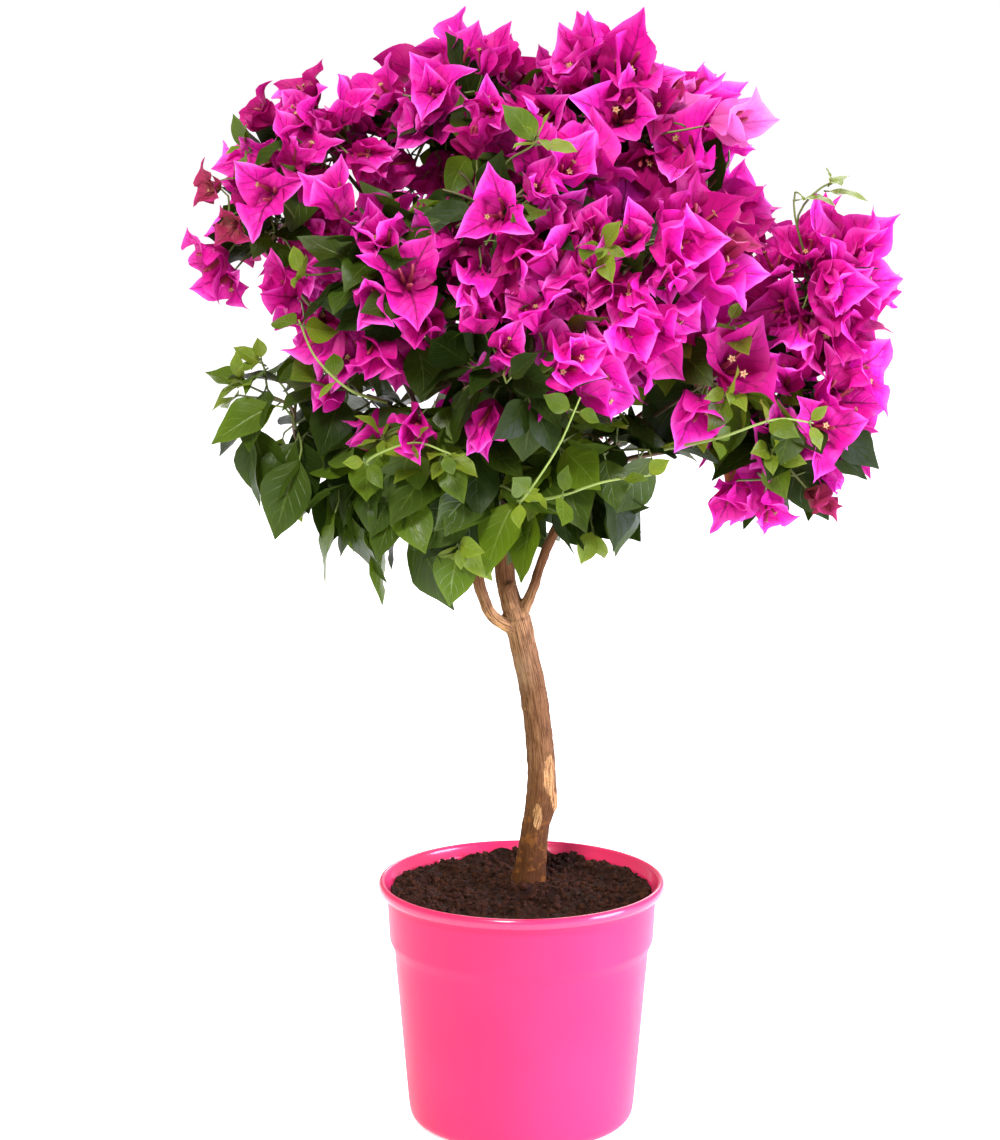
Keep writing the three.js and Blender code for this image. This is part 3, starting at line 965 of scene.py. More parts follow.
@dataclass
class Wood:
    """The trunk and its boughs: one skin of bark, fused at the forks, with its relief in the mesh."""

    flare: float = 2
    flare_reach: float = 14
    knee_height: float = 203
    knee_swell: float = 0.8
    knee_reach: float = 12
    stations: int = 61  # places along each limb
    skin_step: float = 0.85
    crack_depth: float = 0.42
    collar: float = 0.5  # what a bough is thicker by at its root
    collar_reach: float = 6
    swells: tuple[tuple[Place, Place, float], ...] = (  # middle, reach and height
        ((20.5, 17, 199), (5, 7, 5.5), 1.7),
        ((17, 12, 221), (3, 5, 10), -0.9),
        ((-5, 18, 150), (5, 8, 12), 1.4),
    )
    stub: Limb = Limb(((-9.5, 11, 339), (-6.5, 4, 343.5), (-5.8, 1.5, 345)), 3.2, 2.2)
    finish: BarkFinish = field(default_factory=BarkFinish)

    def trunk_radii(self, heights: Array, shares: Array) -> Array:
        """The trunk's radius: an even taper, a swelling at the knee and a flare at the foot.

        Args:
            heights: places up the trunk.
            shares: the same places as shares of its length.

        Returns:
            The radii.
        """
        knee = self.knee_swell * np.exp(-(((heights - self.knee_height) / self.knee_reach) ** 2))
        flare = self.flare * np.exp(-np.maximum(0, heights - GROUND) / self.flare_reach)
        return TRUNK.radii(shares) + knee + flare

    def limbs(self) -> list[tuple[Path, Array]]:
        """Every limb's middle line and its radius at even shares of it."""
        shares = np.linspace(0, 1, self.stations)
        trunk = TRUNK.path()
        found = [(trunk, self.trunk_radii(trunk.at(shares)[:, 2], shares))]
        for limb in BOUGHS.values():
            collar = self.collar * np.exp(-shares * limb.path().length / self.collar_reach)
            found.append((limb.path(), limb.radii(shares) + collar))
        return [*found, (self.stub.path(), self.stub.radii(shares))]

    def rough_skin(self) -> bpy.types.Object:
        """The limbs as closed tubes, fused into one even skin."""
        gathered = Gathered()
        shares = np.linspace(0, 1, self.stations)
        closed = np.where((shares == 0) | (shares == 1), 0.02, 1.0)
        for path, radii in self.limbs():
            gathered.tube(path.at(shares), radii * closed, 28, path.headings(shares))
        piece = gathered.piece("bark_of_trunk_and_boughs", self.finish.material())
        remesh = piece.modifiers.new("fuse", "REMESH")
        remesh.mode = "VOXEL"
        remesh.voxel_size = self.skin_step * MM
        smooth = piece.modifiers.new("soften", "SMOOTH")
        smooth.iterations = 4
        smooth.factor = 0.5
        applied(piece)
        return piece

    def fibres(self, points: Array) -> Array:
        """Where each point of the skin lies on its limb.

        Args:
            points: the skin's points.

        Returns:
            For each, a place whose first two numbers go round the limb and whose third goes along it.
        """
        best = np.full(len(points), 1e9)
        fibre = np.zeros((len(points), 3))
        shares = np.linspace(0, 1, self.stations)
        for number, (path, radii) in enumerate(self.limbs()):
            middle, headings = path.at(shares), path.headings(shares)
            first, second = carried_frames(headings)
            away = np.linalg.norm(points[:, None] - middle[None], axis=2)
            nearest = np.argmin(away - radii[None], axis=1)
            off = points - middle[nearest]
            angle = np.arctan2(np.sum(off * second[nearest], axis=1), np.sum(off * first[nearest], axis=1))
            depth = away[np.arange(len(points)), nearest] - radii[nearest]
            own = depth < best
            best[own] = depth[own]
            around = radii.mean()
            along = shares[nearest] * path.length + np.sum(off * headings[nearest], axis=1)
            place = np.stack([np.cos(angle) * around, np.sin(angle) * around, along + 90 * number], axis=1)
            fibre[own] = place[own]
        return fibre

    def relief(self, points: Array, fibre: Array) -> Array:
        """How far the bark stands out at each point of the skin.

        Args:
            points: the skin's points.
            fibre: where each lies on its limb.

        Returns:
            A distance for each point.
        """
        long_way = fibre * np.array([1, 1, 0.11])
        drift = fibre * np.array([1, 1, 0.3])
        cracks = np.abs(lumps(long_way, 1.9, 4)) + 0.6 * np.abs(lumps(long_way, 1.05, 5))
        waves = 0.5 * lumps(drift, 7, 6) + 0.25 * lumps(fibre, 3, 7)
        out = -self.crack_depth * (1 - eased(cracks, 0.0, 0.5)) + waves
        for middle, reach, height in self.swells:
            out = out + height * np.exp(-np.sum(((points - middle) / reach) ** 2, axis=1))
        ring = np.exp(-(((points[:, 2] - 262 - 0.15 * points[:, 0]) / 2.2) ** 2)) * (points[:, 0] < 6)
        return out + 0.5 * ring

    def build(self) -> None:
        """Makes the skin, presses the relief into it and stores its grain."""
        piece = self.rough_skin()
        mesh = piece.data
        count = len(mesh.vertices)
        points, normals = np.zeros(count * 3), np.zeros(count * 3)
        mesh.vertices.foreach_get("co", points)
        mesh.vertices.foreach_get("normal", normals)
        points, normals = points.reshape(-1, 3) / MM, normals.reshape(-1, 3)
        fibre = self.fibres(points)
        points = points + normals * self.relief(points, fibre)[:, None]
        mesh.vertices.foreach_set("co", (points * MM).ravel())
        grain = mesh.attributes.new("fibre", "FLOAT_VECTOR", "POINT")
        grain.data.foreach_set("vector", fibre.astype(np.float32).ravel())
        mesh.polygons.foreach_set("use_smooth", np.ones(len(mesh.polygons), bool))
        mesh.update()
        fit(piece, Slot.BARK, "trunk", *(f"bough_{name}" for name in BOUGHS))


# -------- the crown


@dataclass(frozen=True)
class Mass:
    """A mass of foliage: its bough, the space that it fills, and what grows at its twigs' tips."""

    bough: str
    middle: Place
    reach: Place
    bloom: float  # share of its outer tips that end in bracts
    young: float = 0.25  # share of its leafy tips that are fresh and light


MASSES = {
    "crest_left": Mass("leader", (-38, 10, 636), (64, 64, 63), 0.95),
    "crest_right": Mass("leader", (62, 5, 632), (64, 64, 61), 0.95),
    "shoulder_left": Mass("leader", (-118, 4, 620), (60, 66, 46), 0.85),
    "shoulder_right": Mass("leader", (112, 8, 588), (50, 66, 53), 0.9),
    "back_upper": Mass("leader", (8, 108, 598), (76, 68, 64), 0.85),
    "heart": Mass("leader", (2, 2, 545), (62, 50, 56), 0.4, 0.0),
    "flank_left": Mass("left", (-158, -2, 566), (54, 60, 52), 0.72),
    "low_left": Mass("left", (-132, -14, 441), (62, 62, 66), 0.0, 0.14),
    "skirt_left": Mass("left", (-58, -58, 410), (60, 58, 66), 0.0, 0.16),
    "back_left": Mass("left", (-98, 92, 520), (66, 66, 66), 0.75),
    "flank_right": Mass("right", (186, 2, 532), (48, 62, 50), 0.95),
    "low_right": Mass("right", (166, -10, 446), (58, 66, 68), 0.62, 0.7),
    "waist_right": Mass("right", (108, -46, 486), (50, 60, 52), 0.45, 0.5),
    "skirt_right": Mass("right", (40, -52, 426), (60, 60, 54), 0.0, 0.2),
    "back_right": Mass("back", (112, 92, 506), (66, 66, 66), 0.75),
    "front_upper": Mass("front", (-8, -84, 588), (70, 64, 58), 0.85),
    "front_left": Mass("front", (-84, -80, 545), (66, 62, 66), 0.55),
    "front_right": Mass("front", (67, -90, 552), (64, 62, 62), 0.9),
    "front_low": Mass("front", (-5, -104, 496), (72, 58, 54), 0.85),
    "back_low": Mass("back", (6, 110, 470), (74, 68, 62), 0.5),
    "skirt_back": Mass("back", (-14, 66, 404), (70, 58, 50), 0.0),
}


class Tip(Enum):
    """What a twig ends in."""

    BRACTS = "bracts"
    LEAVES = "leaves"
    FRESH = "fresh"
    LEAF = "one full leaf"


@dataclass
class BladeShape:
    """The outline and the relief that the blades of one kind share."""

    outline: tuple[Span, ...]  # (share of the length, share of the half width)
    rows: int
    columns: int
    bend_from: float  # a blade bends more towards its tip where this is above 1
    cup: float
    frill: float  # how far its ripples reach in from its edge: larger keeps them to the edge
    crumple: float  # height of the small folds in it

    def sheets(self, blades: Array) -> tuple[Array, Array]:
        """The surfaces of many blades.

        Args:
            blades: a row for each: root, way, upper side, length, width, bend, fold, twist, ripple, phase.

        Returns:
            Their points, as (blades, rows, columns, 3), and the spots of one blade's points on its map.
        """
        root, way, up = blades[:, 0:3], unit(blades[:, 3:6]), blades[:, 6:9]
        up = across(way, up)
        length, width, bend, fold, twist, ripple, phase = (blades[:, i][:, None] for i in range(9, 16))
        v = np.linspace(0, 1, self.rows + 1)
        u = np.linspace(-1, 1, self.columns + 1)
        turned = bend * v[None] ** self.bend_from
        ahead = np.cos(turned)[..., None] * way[:, None] - np.sin(turned)[..., None] * up[:, None]
        above = np.sin(turned)[..., None] * way[:, None] + np.cos(turned)[..., None] * up[:, None]
        side = np.broadcast_to(np.cross(way, up)[:, None], ahead.shape)
        spin = (twist * v[None])[..., None]
        side, above = np.cos(spin) * side + np.sin(spin) * above, np.cos(spin) * above - np.sin(spin) * side
        step = (ahead[:, 1:] + ahead[:, :-1]) / 2 * (length / self.rows)[..., None]
        spine = np.concatenate([np.zeros((len(blades), 1, 3)), np.cumsum(step, axis=1)], axis=1)
        spine = root[:, None] + spine
        spine = spine + (0.12 * length * np.sin(3 * phase) * v[None] ** 2)[..., None] * side
        stations = np.array(self.outline)
        half = np.interp(v, stations[:, 0], stations[:, 1])[None] * width / 2
        tilt = (fold * (1 - 0.45 * v[None]))[..., None]
        reach = half[..., None] * u[None, None]
        waves = (1.2 + 0.2 * phase)[..., None] * v[None, :, None]
        wave = np.sin(math.tau * waves + phase[..., None] + 2.1 * (u > 0)[None, None])
        frill = ripple[..., None] * wave * np.abs(u[None, None]) ** self.frill * (half / width * 2)[..., None]
        own = 50 * np.arange(len(blades))[:, None, None] * np.ones_like(reach)
        along = v[None, :, None] * length[..., None] * np.ones_like(reach)
        flat = np.stack([own + reach, along, own], axis=-1)
        folds = lumps(flat.reshape(-1, 3), 7.5).reshape(reach.shape) * eased(v, 0.0, 0.35)[None, :, None]
        lift = np.abs(reach) * np.sin(tilt) + self.cup * half[..., None] * u[None, None] ** 2 + frill
        lift = lift + self.crumple * folds
        out = reach * np.cos(tilt)
        sheet = spine[:, :, None] + out[..., None] * side[:, :, None] + lift[..., None] * above[:, :, None]
        spots = np.stack(np.meshgrid((u + 1) / 2, v), axis=-1)
        return sheet, spots


LEAF_SHAPE = BladeShape(
    (
        (0, 0.05), (0.06, 0.3), (0.16, 0.68), (0.28, 0.92), (0.4, 1), (0.53, 0.95),
        (0.66, 0.77), (0.78, 0.5), (0.88, 0.25), (0.95, 0.1), (1, 0.02),
    ),
    rows=10,
    columns=4,
    bend_from=1.3,
    cup=0.0,
    frill=1.3,
    crumple=0.7,
)
BRACT_SHAPE = BladeShape(
    (
        (0, 0.12), (0.04, 0.36), (0.1, 0.64), (0.18, 0.86), (0.28, 0.98), (0.38, 1), (0.49, 0.95),
        (0.59, 0.83), (0.68, 0.66), (0.76, 0.47), (0.83, 0.31), (0.9, 0.17), (0.95, 0.08), (1, 0.015),
    ),
    rows=14,
    columns=6,
    bend_from=1.7,
    cup=0.16,
    frill=1.5,
    crumple=1.5,
)


class Shade(Enum):
    """The shades that leaves and bracts are dealt out in."""

    # In the bract shades the foot colour is darker than the body: painted shade in each rosette's throat.
    BRIGHT = BladeFinish(
        "bract_bright", (0.38, 0.007, 0.14), (0.68, 0.010, 0.33), (0.87, 0.16, 0.68), (0.13, 0.006, 0.04),
        (0.80, 0.012, 0.42), 0.26, 0.48, 0.8,
    )
    RICH = BladeFinish(
        "bract_rich", (0.29, 0.005, 0.10), (0.54, 0.005, 0.23), (0.76, 0.075, 0.48), (0.10, 0.005, 0.03),
        (0.70, 0.008, 0.32), 0.23, 0.48, 0.8,
    )
    # The darkest bracts: dealt at random to some outer sprays, and as painted shade to every rosette deep
    # inside the crown.
    DEEP = BladeFinish(
        "bract_deep_and_shaded", (0.22, 0.004, 0.07), (0.34, 0.003, 0.12), (0.42, 0.010, 0.19), (0.07, 0.004, 0.016),
        (0.55, 0.005, 0.20), 0.2, 0.5, 0.6,
    )
    BLUSH = BladeFinish(
        "bract_blush", (0.15, 0.07, 0.02), (0.29, 0.018, 0.065), (0.48, 0.022, 0.20), (0.10, 0.02, 0.015),
        (0.36, 0.04, 0.09), 0.2, 0.5, 0.5,
    )
    PALE = BladeFinish(
        "bract_pale", (0.62, 0.06, 0.30), (0.74, 0.15, 0.50), (0.80, 0.28, 0.62), (0.42, 0.04, 0.22),
        (0.85, 0.22, 0.58), 0.34, 0.5, 0.5,
    )
    FRESH = BladeFinish(
        "leaf_fresh", (0.15, 0.20, 0.016), (0.115, 0.180, 0.012), (0.19, 0.25, 0.025), (0.28, 0.35, 0.07),
        (0.28, 0.38, 0.02), 0.24, 0.34, 0.5, 0.2,
    )
    GREEN = BladeFinish(
        "leaf_green", (0.078, 0.125, 0.008), (0.050, 0.092, 0.005), (0.076, 0.128, 0.008), (0.15, 0.21, 0.03),
        (0.17, 0.27, 0.008), 0.18, 0.32, 0.5, 0.2,
    )
    MATURE = BladeFinish(
        "leaf_mature", (0.036, 0.062, 0.006), (0.025, 0.048, 0.0042), (0.038, 0.066, 0.006),
        (0.09, 0.13, 0.020), (0.10, 0.17, 0.006), 0.14, 0.32, 0.5, 0.17,
    )
    # Painted shade: a darker copy of the leaf colours, dealt to leaves deep in the crown and low on the left.
    SHADED = BladeFinish(
        "leaf_shaded", (0.018, 0.033, 0.004), (0.012, 0.025, 0.003), (0.018, 0.034, 0.004),
        (0.04, 0.06, 0.010), (0.04, 0.08, 0.003), 0.1, 0.42, 0.5, 0.09,
    )
    DRY = BladeFinish(
        "leaf_dry", (0.22, 0.06, 0.012), (0.30, 0.085, 0.014), (0.36, 0.13, 0.03), (0.14, 0.04, 0.012),
        (0.45, 0.13, 0.02), 0.2, 0.7, 0.6,
    )


TWIG_FINISHES = (
    TwigFinish("woody_twigs", (0.13, 0.075, 0.034), (0.10, 0.10, 0.034), (0.055, 0.032, 0.016), 0.65),
    TwigFinish("green_twigs", (0.095, 0.13, 0.026), (0.15, 0.20, 0.04), (0.065, 0.065, 0.022), 0.5),
    TwigFinish("light_runners", (0.15, 0.21, 0.035), (0.20, 0.29, 0.05), (0.10, 0.13, 0.03), 0.5),
    TwigFinish("flower_tubes", (0.20, 0.016, 0.03), (0.29, 0.032, 0.055), (0.12, 0.02, 0.02), 0.5),
    TwigFinish("flower_stars", (0.62, 0.46, 0.20), (0.30, 0.10, 0.03), (0.75, 0.6, 0.3), 0.6),
)

Deal = tuple[tuple[float, Shade], ...]  # shades, each with the pick from 0 to 1 that it is dealt up to

# The shaded colour in these deals is painted shade, dealt most deep in the crown and low on the left.
DEEP_LEAVES: Deal = ((0.75, Shade.SHADED), (1.0, Shade.MATURE))
INNER_LEAVES: Deal = ((0.6, Shade.MATURE), (0.85, Shade.GREEN), (1.0, Shade.SHADED))
LOW_LEFT_LEAVES: Deal = ((0.46, Shade.MATURE), (0.92, Shade.SHADED), (1.0, Shade.GREEN))
OUTER_LEAVES: Deal = ((0.34, Shade.GREEN), (0.98, Shade.MATURE), (1.0, Shade.FRESH))


def dealt(pick: float, deal: Deal) -> Shade:
    """The shade that a pick from 0 to 1 falls to."""
    return next(shade for share, shade in deal if pick < share)


@dataclass(frozen=True)
class Sprig:
    """A spray that stands out of the crown: where its bracts or leaves are, and which way it faces."""

    mass: str
    place: Place
    axis: Place
    kind: Tip
    shade: Shade | None = None
    size: float = 1.0


SPRIGS = (
    Sprig("flank_left", (-176, -22, 552), (-0.8, -0.45, -0.4), Tip.BRACTS, Shade.RICH),
    Sprig("flank_left", (-180, -26, 590), (-0.8, -0.4, 0.1), Tip.BRACTS, Shade.BLUSH, 1.1),
    Sprig("flank_left", (-168, -34, 571), (-0.4, -0.8, -0.2), Tip.BRACTS, Shade.BLUSH),
    Sprig("flank_left", (-148, -40, 588), (-0.25, -0.9, 0.2), Tip.BRACTS, Shade.BRIGHT),
    Sprig("shoulder_left", (-168, -20, 618), (-0.6, -0.3, 0.75), Tip.FRESH),
    Sprig("flank_right", (164, -16, 590), (0.2, -0.2, 0.9), Tip.FRESH),
    Sprig("flank_right", (186, -16, 594), (0.6, -0.2, 0.7), Tip.FRESH),
    Sprig("low_right", (146, -40, 408), (0.2, -0.7, -0.6), Tip.BRACTS, Shade.BRIGHT, 0.7),
    Sprig("low_right", (172, -34, 410), (0.6, -0.6, -0.4), Tip.BRACTS, Shade.BLUSH),
    Sprig("low_right", (150, -62, 438), (0.25, -0.8, 0.2), Tip.FRESH),
    Sprig("waist_right", (120, -90, 480), (0.1, -0.85, 0.4), Tip.FRESH),
    Sprig("crest_right", (110, -56, 630), (0.9, -0.5, 0.12), Tip.BRACTS, Shade.PALE),
    Sprig("front_upper", (8, -124, 628), (0.1, -0.7, 0.7), Tip.FRESH),
    Sprig("front_right", (46, -132, 566), (0.25, -0.85, 0.4), Tip.FRESH),
    Sprig("low_left", (-110, -56, 474), (-0.35, -0.85, 0.1), Tip.BRACTS, Shade.BRIGHT),
    Sprig("low_left", (-134, -46, 528), (-0.55, -0.75, 0.3), Tip.BRACTS, Shade.RICH),
    Sprig("skirt_left", (-60, -98, 462), (-0.2, -0.9, -0.2), Tip.BRACTS, Shade.RICH),
    Sprig("skirt_left", (-82, -104, 452), (-0.1, -0.9, 0.2), Tip.FRESH),
    Sprig("skirt_left", (-44, -108, 440), (0.1, -0.9, -0.1), Tip.FRESH),
    Sprig("low_left", (-172, -30, 476), (-0.8, -0.3, 0.5), Tip.FRESH),
    Sprig("low_left", (-158, -34, 490), (-0.5, -0.5, 0.7), Tip.FRESH),
    Sprig("low_right", (192, -20, 478), (0.8, -0.5, 0.1), Tip.BRACTS, Shade.BRIGHT),
    Sprig("low_right", (126, -40, 414), (-0.1, -0.7, -0.6), Tip.BRACTS, Shade.RICH, 0.7),
    Sprig("skirt_left", (-31, -90, 415), (-0.7, -0.15, -0.6), Tip.LEAF, Shade.MATURE),
    Sprig("skirt_left", (-26, -70, 392), (-0.4, -0.2, -0.9), Tip.LEAF, Shade.SHADED),
    Sprig("skirt_left", (-5, -92, 412), (-0.45, -0.25, -0.85), Tip.LEAF, Shade.GREEN),
    Sprig("skirt_right", (7, -70, 402), (-0.25, -0.15, -0.95), Tip.LEAF, Shade.GREEN),
    Sprig("skirt_right", (76, -80, 436), (-0.6, -0.2, -0.75), Tip.LEAF, Shade.MATURE),
    Sprig("skirt_right", (60, -74, 422), (-0.1, -0.2, -0.9), Tip.LEAF, Shade.MATURE),
    Sprig("low_left", (-133, -62, 432), (-0.35, -0.2, -0.9), Tip.LEAF, Shade.MATURE),
    Sprig("low_left", (-112, -60, 400), (-0.25, -0.1, -0.95), Tip.LEAF, Shade.GREEN),
    Sprig("skirt_left", (-102, -70, 400), (0.4, -0.1, -0.9), Tip.LEAF, Shade.MATURE),
    Sprig("low_left", (-148, -50, 463), (-0.85, -0.2, -0.4), Tip.LEAF, Shade.GREEN),
    Sprig("low_left", (-163, -45, 446), (0.05, -0.2, -1), Tip.LEAF, Shade.MATURE),
)
BACKING = (  # leafy tips behind places that would be thin
    Sprig("crest_left", (-67, 24, 608), (0.1, -0.9, 0.3), Tip.LEAVES),
    Sprig("shoulder_left", (-89, 20, 614), (-0.2, -0.9, 0.2), Tip.LEAVES),
    Sprig("crest_left", (-68, 22, 586), (-0.1, -0.9, 0.1), Tip.LEAVES),
    Sprig("flank_left", (-150, 12, 570), (-0.4, -0.8, 0.2), Tip.LEAVES),
    Sprig("flank_left", (-160, 8, 556), (-0.4, -0.8, -0.2), Tip.LEAVES),
)


@dataclass(frozen=True)
class Runner:
    """A long light stem that arches out over the crown to a few fresh leaves."""

    points: tuple[Place, ...]
    shares: tuple[float, ...]  # where leaves stand along it


RUNNERS = (
    Runner(
        ((-4, -30, 412), (-3, -100, 414), (2, -134, 424), (20, -146, 454), (32, -148, 482)),
        (0.5, 0.62, 0.95),
    ),
    Runner(((0, -90, 412), (22, -128, 422), (46, -128, 430), (74, -116, 432)), (0.45, 0.8, 0.97)),
    Runner(((-70, -60, 420), (-90, -112, 440), (-62, -122, 452), (-42, -126, 446)), (0.5, 0.8, 0.97)),
    Runner(((-80, -84, 470), (-102, -110, 482), (-120, -110, 500), (-130, -98, 520)), (0.5, 0.96)),
    Runner(((84, -70, 440), (114, -104, 452), (148, -98, 462), (170, -86, 458)), (0.4, 0.7, 0.97)),
)


class Skeleton:
    """The stem and twigs of one mass, as points that new twigs may leave from."""

    LEAVING = 16  # what a turn away from the stem costs, in millimetres of way
    ARRIVING = 18  # what a turn into the last axis costs
    SHORT = 12  # a way shorter than this costs
    SHORT_COST = 40

    def __init__(self) -> None:
        """Starts with nothing."""
        self.points = np.zeros((0, 3))
        self.headings = np.zeros((0, 3))
        self.radii = np.zeros(0)

    def add(self, path: Path, shares: Array, radii: Array) -> None:
        """Adds places of a stem or twig that twigs may leave from.

        Args:
            path: its middle line.
            shares: the places, as shares of its length.
            radii: its radius at each.
        """
        self.points = np.vstack([self.points, path.at(shares)])
        self.headings = np.vstack([self.headings, path.headings(shares)])
        self.radii = np.concatenate([self.radii, radii])

    def leave(self, place: Array, axis: Array) -> int:
        """The point from which a twig gets to a place most directly.

        Args:
            place: where the twig ends.
            axis: the direction in which it ends.

        Returns:
            The point's index.
        """
        way = place - self.points
        far = np.linalg.norm(way, axis=1)
        turn = 1 - np.sum(unit(way) * self.headings, axis=1)
        arrive = 1 - unit(way) @ axis
        short = np.where(far < self.SHORT, self.SHORT_COST, 0)
        return int(np.argmin(far + self.LEAVING * turn + self.ARRIVING * arrive + short))


@dataclass(frozen=True)
class LeafHabit:
    """How a leaf stands on its twig."""

    lean: Span = (45, 75)  # degrees away from the twig
    outward: float = 0.35  # how much it turns out of the crown
    droop: float = 0.3
    low_droop: float = 0.8  # where leaves hang
    stray: float = 0.12
    stalk: Span = (5, 9)
    length: Span = (34, 48)
    low_length: float = 1.22  # times its length, where leaves hang
    width: Span = (0.58, 0.74)  # shares of its length
    bend: Span = (0.1, 0.75)
    fold: Span = (0.08, 0.4)
    twist: float = 0.25
    ripple: float = 1.4
    lowest: float = 332


@dataclass(frozen=True)
class BractHabit:
    """How rosettes stand in a spray, and bracts in a rosette. Angles are in degrees."""

    top_size: Span = (0.86, 1.14)
    side_size: Span = (0.66, 1.04)
    blush_size: float = 0.62
    counts: tuple[float, ...] = (0.08, 0.36, 0.4, 0.16)  # share of sprays of one to four rosettes
    step: Span = (1.7, 2.6)  # radians from one to the next
    tilt: Span = (30, 75)
    apart: Span = (14, 21)
    back: Span = (4, 14)
    same: float = 0.75  # share of them in the spray's own shade
    closed: float = 0.4  # share of rosettes that are nearly shut
    closed_lean: Span = (8, 20)
    closed_bend: Span = (0, 26)
    open_lean: Span = (16, 36)
    open_bend: Span = (22, 66)
    length: Span = (33, 42)
    width: Span = (0.66, 0.84)  # shares of its length
    fold: Span = (0.05, 0.55)
    ripple: Span = (3.0, 7.5)
    flower: Span = (14, 19)
    open_flowers: float = 0.35


@dataclass
class Crown:
    """The stems, twigs, leaves, bracts and flowers of every mass."""

    heart: Place = (8, 5, 470)
    margin: float = 0.4
    overhang: float = 0.7
    straight: float = 0.22
    turned: float = 0.6
    past: float = 0.4
    main_twigs: int = 9
    main_room: float = 18
    covered: float = 24  # a main twig ends at least this far inside the crown
    offers: int = 260
    stem_radii: Span = (2.1, 1.0)
    main_radii: Span = (1.35, 0.9)
    fine_radii: Span = (0.85, 0.62)
    outer_offers: int = 1500
    outer_most: int = 60
    outer_wander: float = 0.28
    bract_depths: Span = (18, 42)  # depths in the crown of the places offered to outer tips
    bract_room: float = 26.5
    bract_reach: float = 31
    leaf_depths: Span = (12, 24)
    leaf_room: float = 26
    leaf_reach: float = 12
    inner_depths: Span = (40, 58)
    inner_offers: int = 260
    inner_room: float = 32
    inner_most: int = 14
    inner_wander: float = 0.5
    deep: Span = (26, 58)  # the depths that leaves fill in the end, darkened mostly by painted shade
    deep_offers: int = 400
    deep_room: float = 22
    deep_most: int = 7
    deep_bloom: float = 0.5  # masses that bloom less than this are open enough as they are
    front: float = -10  # what is further back than this can't close a hollow
    side_reach: float = 29  # how far a side rosette reaches along its axis
    hanging_below: float = 480  # leaves under this height hang
    over: float = 7  # how far it may stand out of the box of the solids
    spread: float = 17  # how far bracts reach to each side of their axis
    proud: float = 0  # how far a spray may stand out of the crown
    leaves: LeafHabit = LeafHabit()
    bracts: BractHabit = BractHabit()
    eye: Place = (-13.5, -2000, 744)  # the gaps open along lines from here
    gaps: tuple[Spot, ...] = (
        (70, 577, 9), (116, 544, 6), (101, 406, 16), (86, 439, 4), (98, 474, 6),
        (144, 468, 7), (83, 453, 5), (40, 704, 13), (162, 634, 14), (157, 614, 18),
        (168, 602, 14), (-205, 576, 14), (-198, 609, 13), (-187, 634, 10), (-163, 541, 8),
        (-154, 490, 6), (-187, 440, 12), (-182, 412, 12), (-149, 376, 10), (-82, 362, 8),
        (-71, 344, 9), (236, 560, 12), (235, 534, 9), (222, 515, 7), (197, 396, 14),
        (172, 378, 9), (-62, 698, 11), (-2, 693, 12), (72, 694, 13), (100, 682, 15),
        (117, 667, 12), (-112, 667, 12), (-101, 662, 8), (-92, 679, 15), (-162, 651, 9),
    )
    hollows: tuple[Spot, ...] = (
        (-49, 594, 19), (-27, 588, 13), (-6, 598, 13), (-134, 553, 14), (-104, 520, 12),
        (-46, 478, 9), (98, 516, 9),
    )
    leafy: tuple[Spot, ...] = (
        (84, 444, 21), (42, 444, 22), (0, 440, 18), (-46, 470, 12), (-132, 526, 12),
    )
    random: np.random.Generator = field(default_factory=lambda: np.random.default_rng(20269))
    wood: Gathered = field(default_factory=Gathered)
    green: Gathered = field(default_factory=Gathered)
    runners: Gathered = field(default_factory=Gathered)
    flowers: Gathered = field(default_factory=Gathered)
    stars: Gathered = field(default_factory=Gathered)
    blades: dict[Shade, list[Array]] = field(default_factory=lambda: {shade: [] for shade in Shade})
    tips: list[Array] = field(default_factory=list)
    skeletons: dict[str, Skeleton] = field(default_factory=dict)
    blooming: bool = True  # whether the mass that grows now is one that blooms

    def __post_init__(self) -> None:
        """Lays the masses' sizes out as arrays."""
        self.middles = np.array([mass.middle for mass in MASSES.values()], float)
        self.reaches = np.array([mass.reach for mass in MASSES.values()], float)
        self.weights = np.cbrt(np.prod(self.reaches, axis=1)) ** 2
        self.low, self.high = (np.array(corner) / MM for corner in CAD_BOX)

    def own(self, points: Array, index: int) -> Array:
        """Whether points are in a mass's own cell of the crown, by the source's rule.

        Args:
            points: the points, one a row.
            index: the mass's place in the list of masses.

        Returns:
            Whether each one is.
        """
        power = np.sum((points[:, None] - self.middles) ** 2, axis=2) - self.weights
        apart = np.linalg.norm(self.middles - self.middles[index], axis=1)
        apart[index] = 1
        depth = (power - power[:, index : index + 1]) / (2 * apart)
        depth[:, index] = self.margin + 1
        return np.all(depth > self.margin, axis=1)

    def depth(self, points: Array) -> Array:
        """How far each point is inside the crown's surface, in millimetres."""
        scaled = np.linalg.norm((points[:, None] - self.middles) / self.reaches, axis=2)
        return np.max((1 - scaled) * self.reaches.mean(axis=1), axis=1)

    def outward(self, points: Array) -> Array:
        """The directions out of the crown at each point.

        Args:
            points: the points, one a row.

        Returns:
            A direction for each.
        """
        scaled = (points[:, None] - self.middles) / self.reaches
        nearest = np.argmin(np.linalg.norm(scaled, axis=2), axis=1)
        slope = unit((points - self.middles[nearest]) / self.reaches[nearest] ** 2)
        return unit(slope + 0.45 * unit(points - np.array(self.heart)))

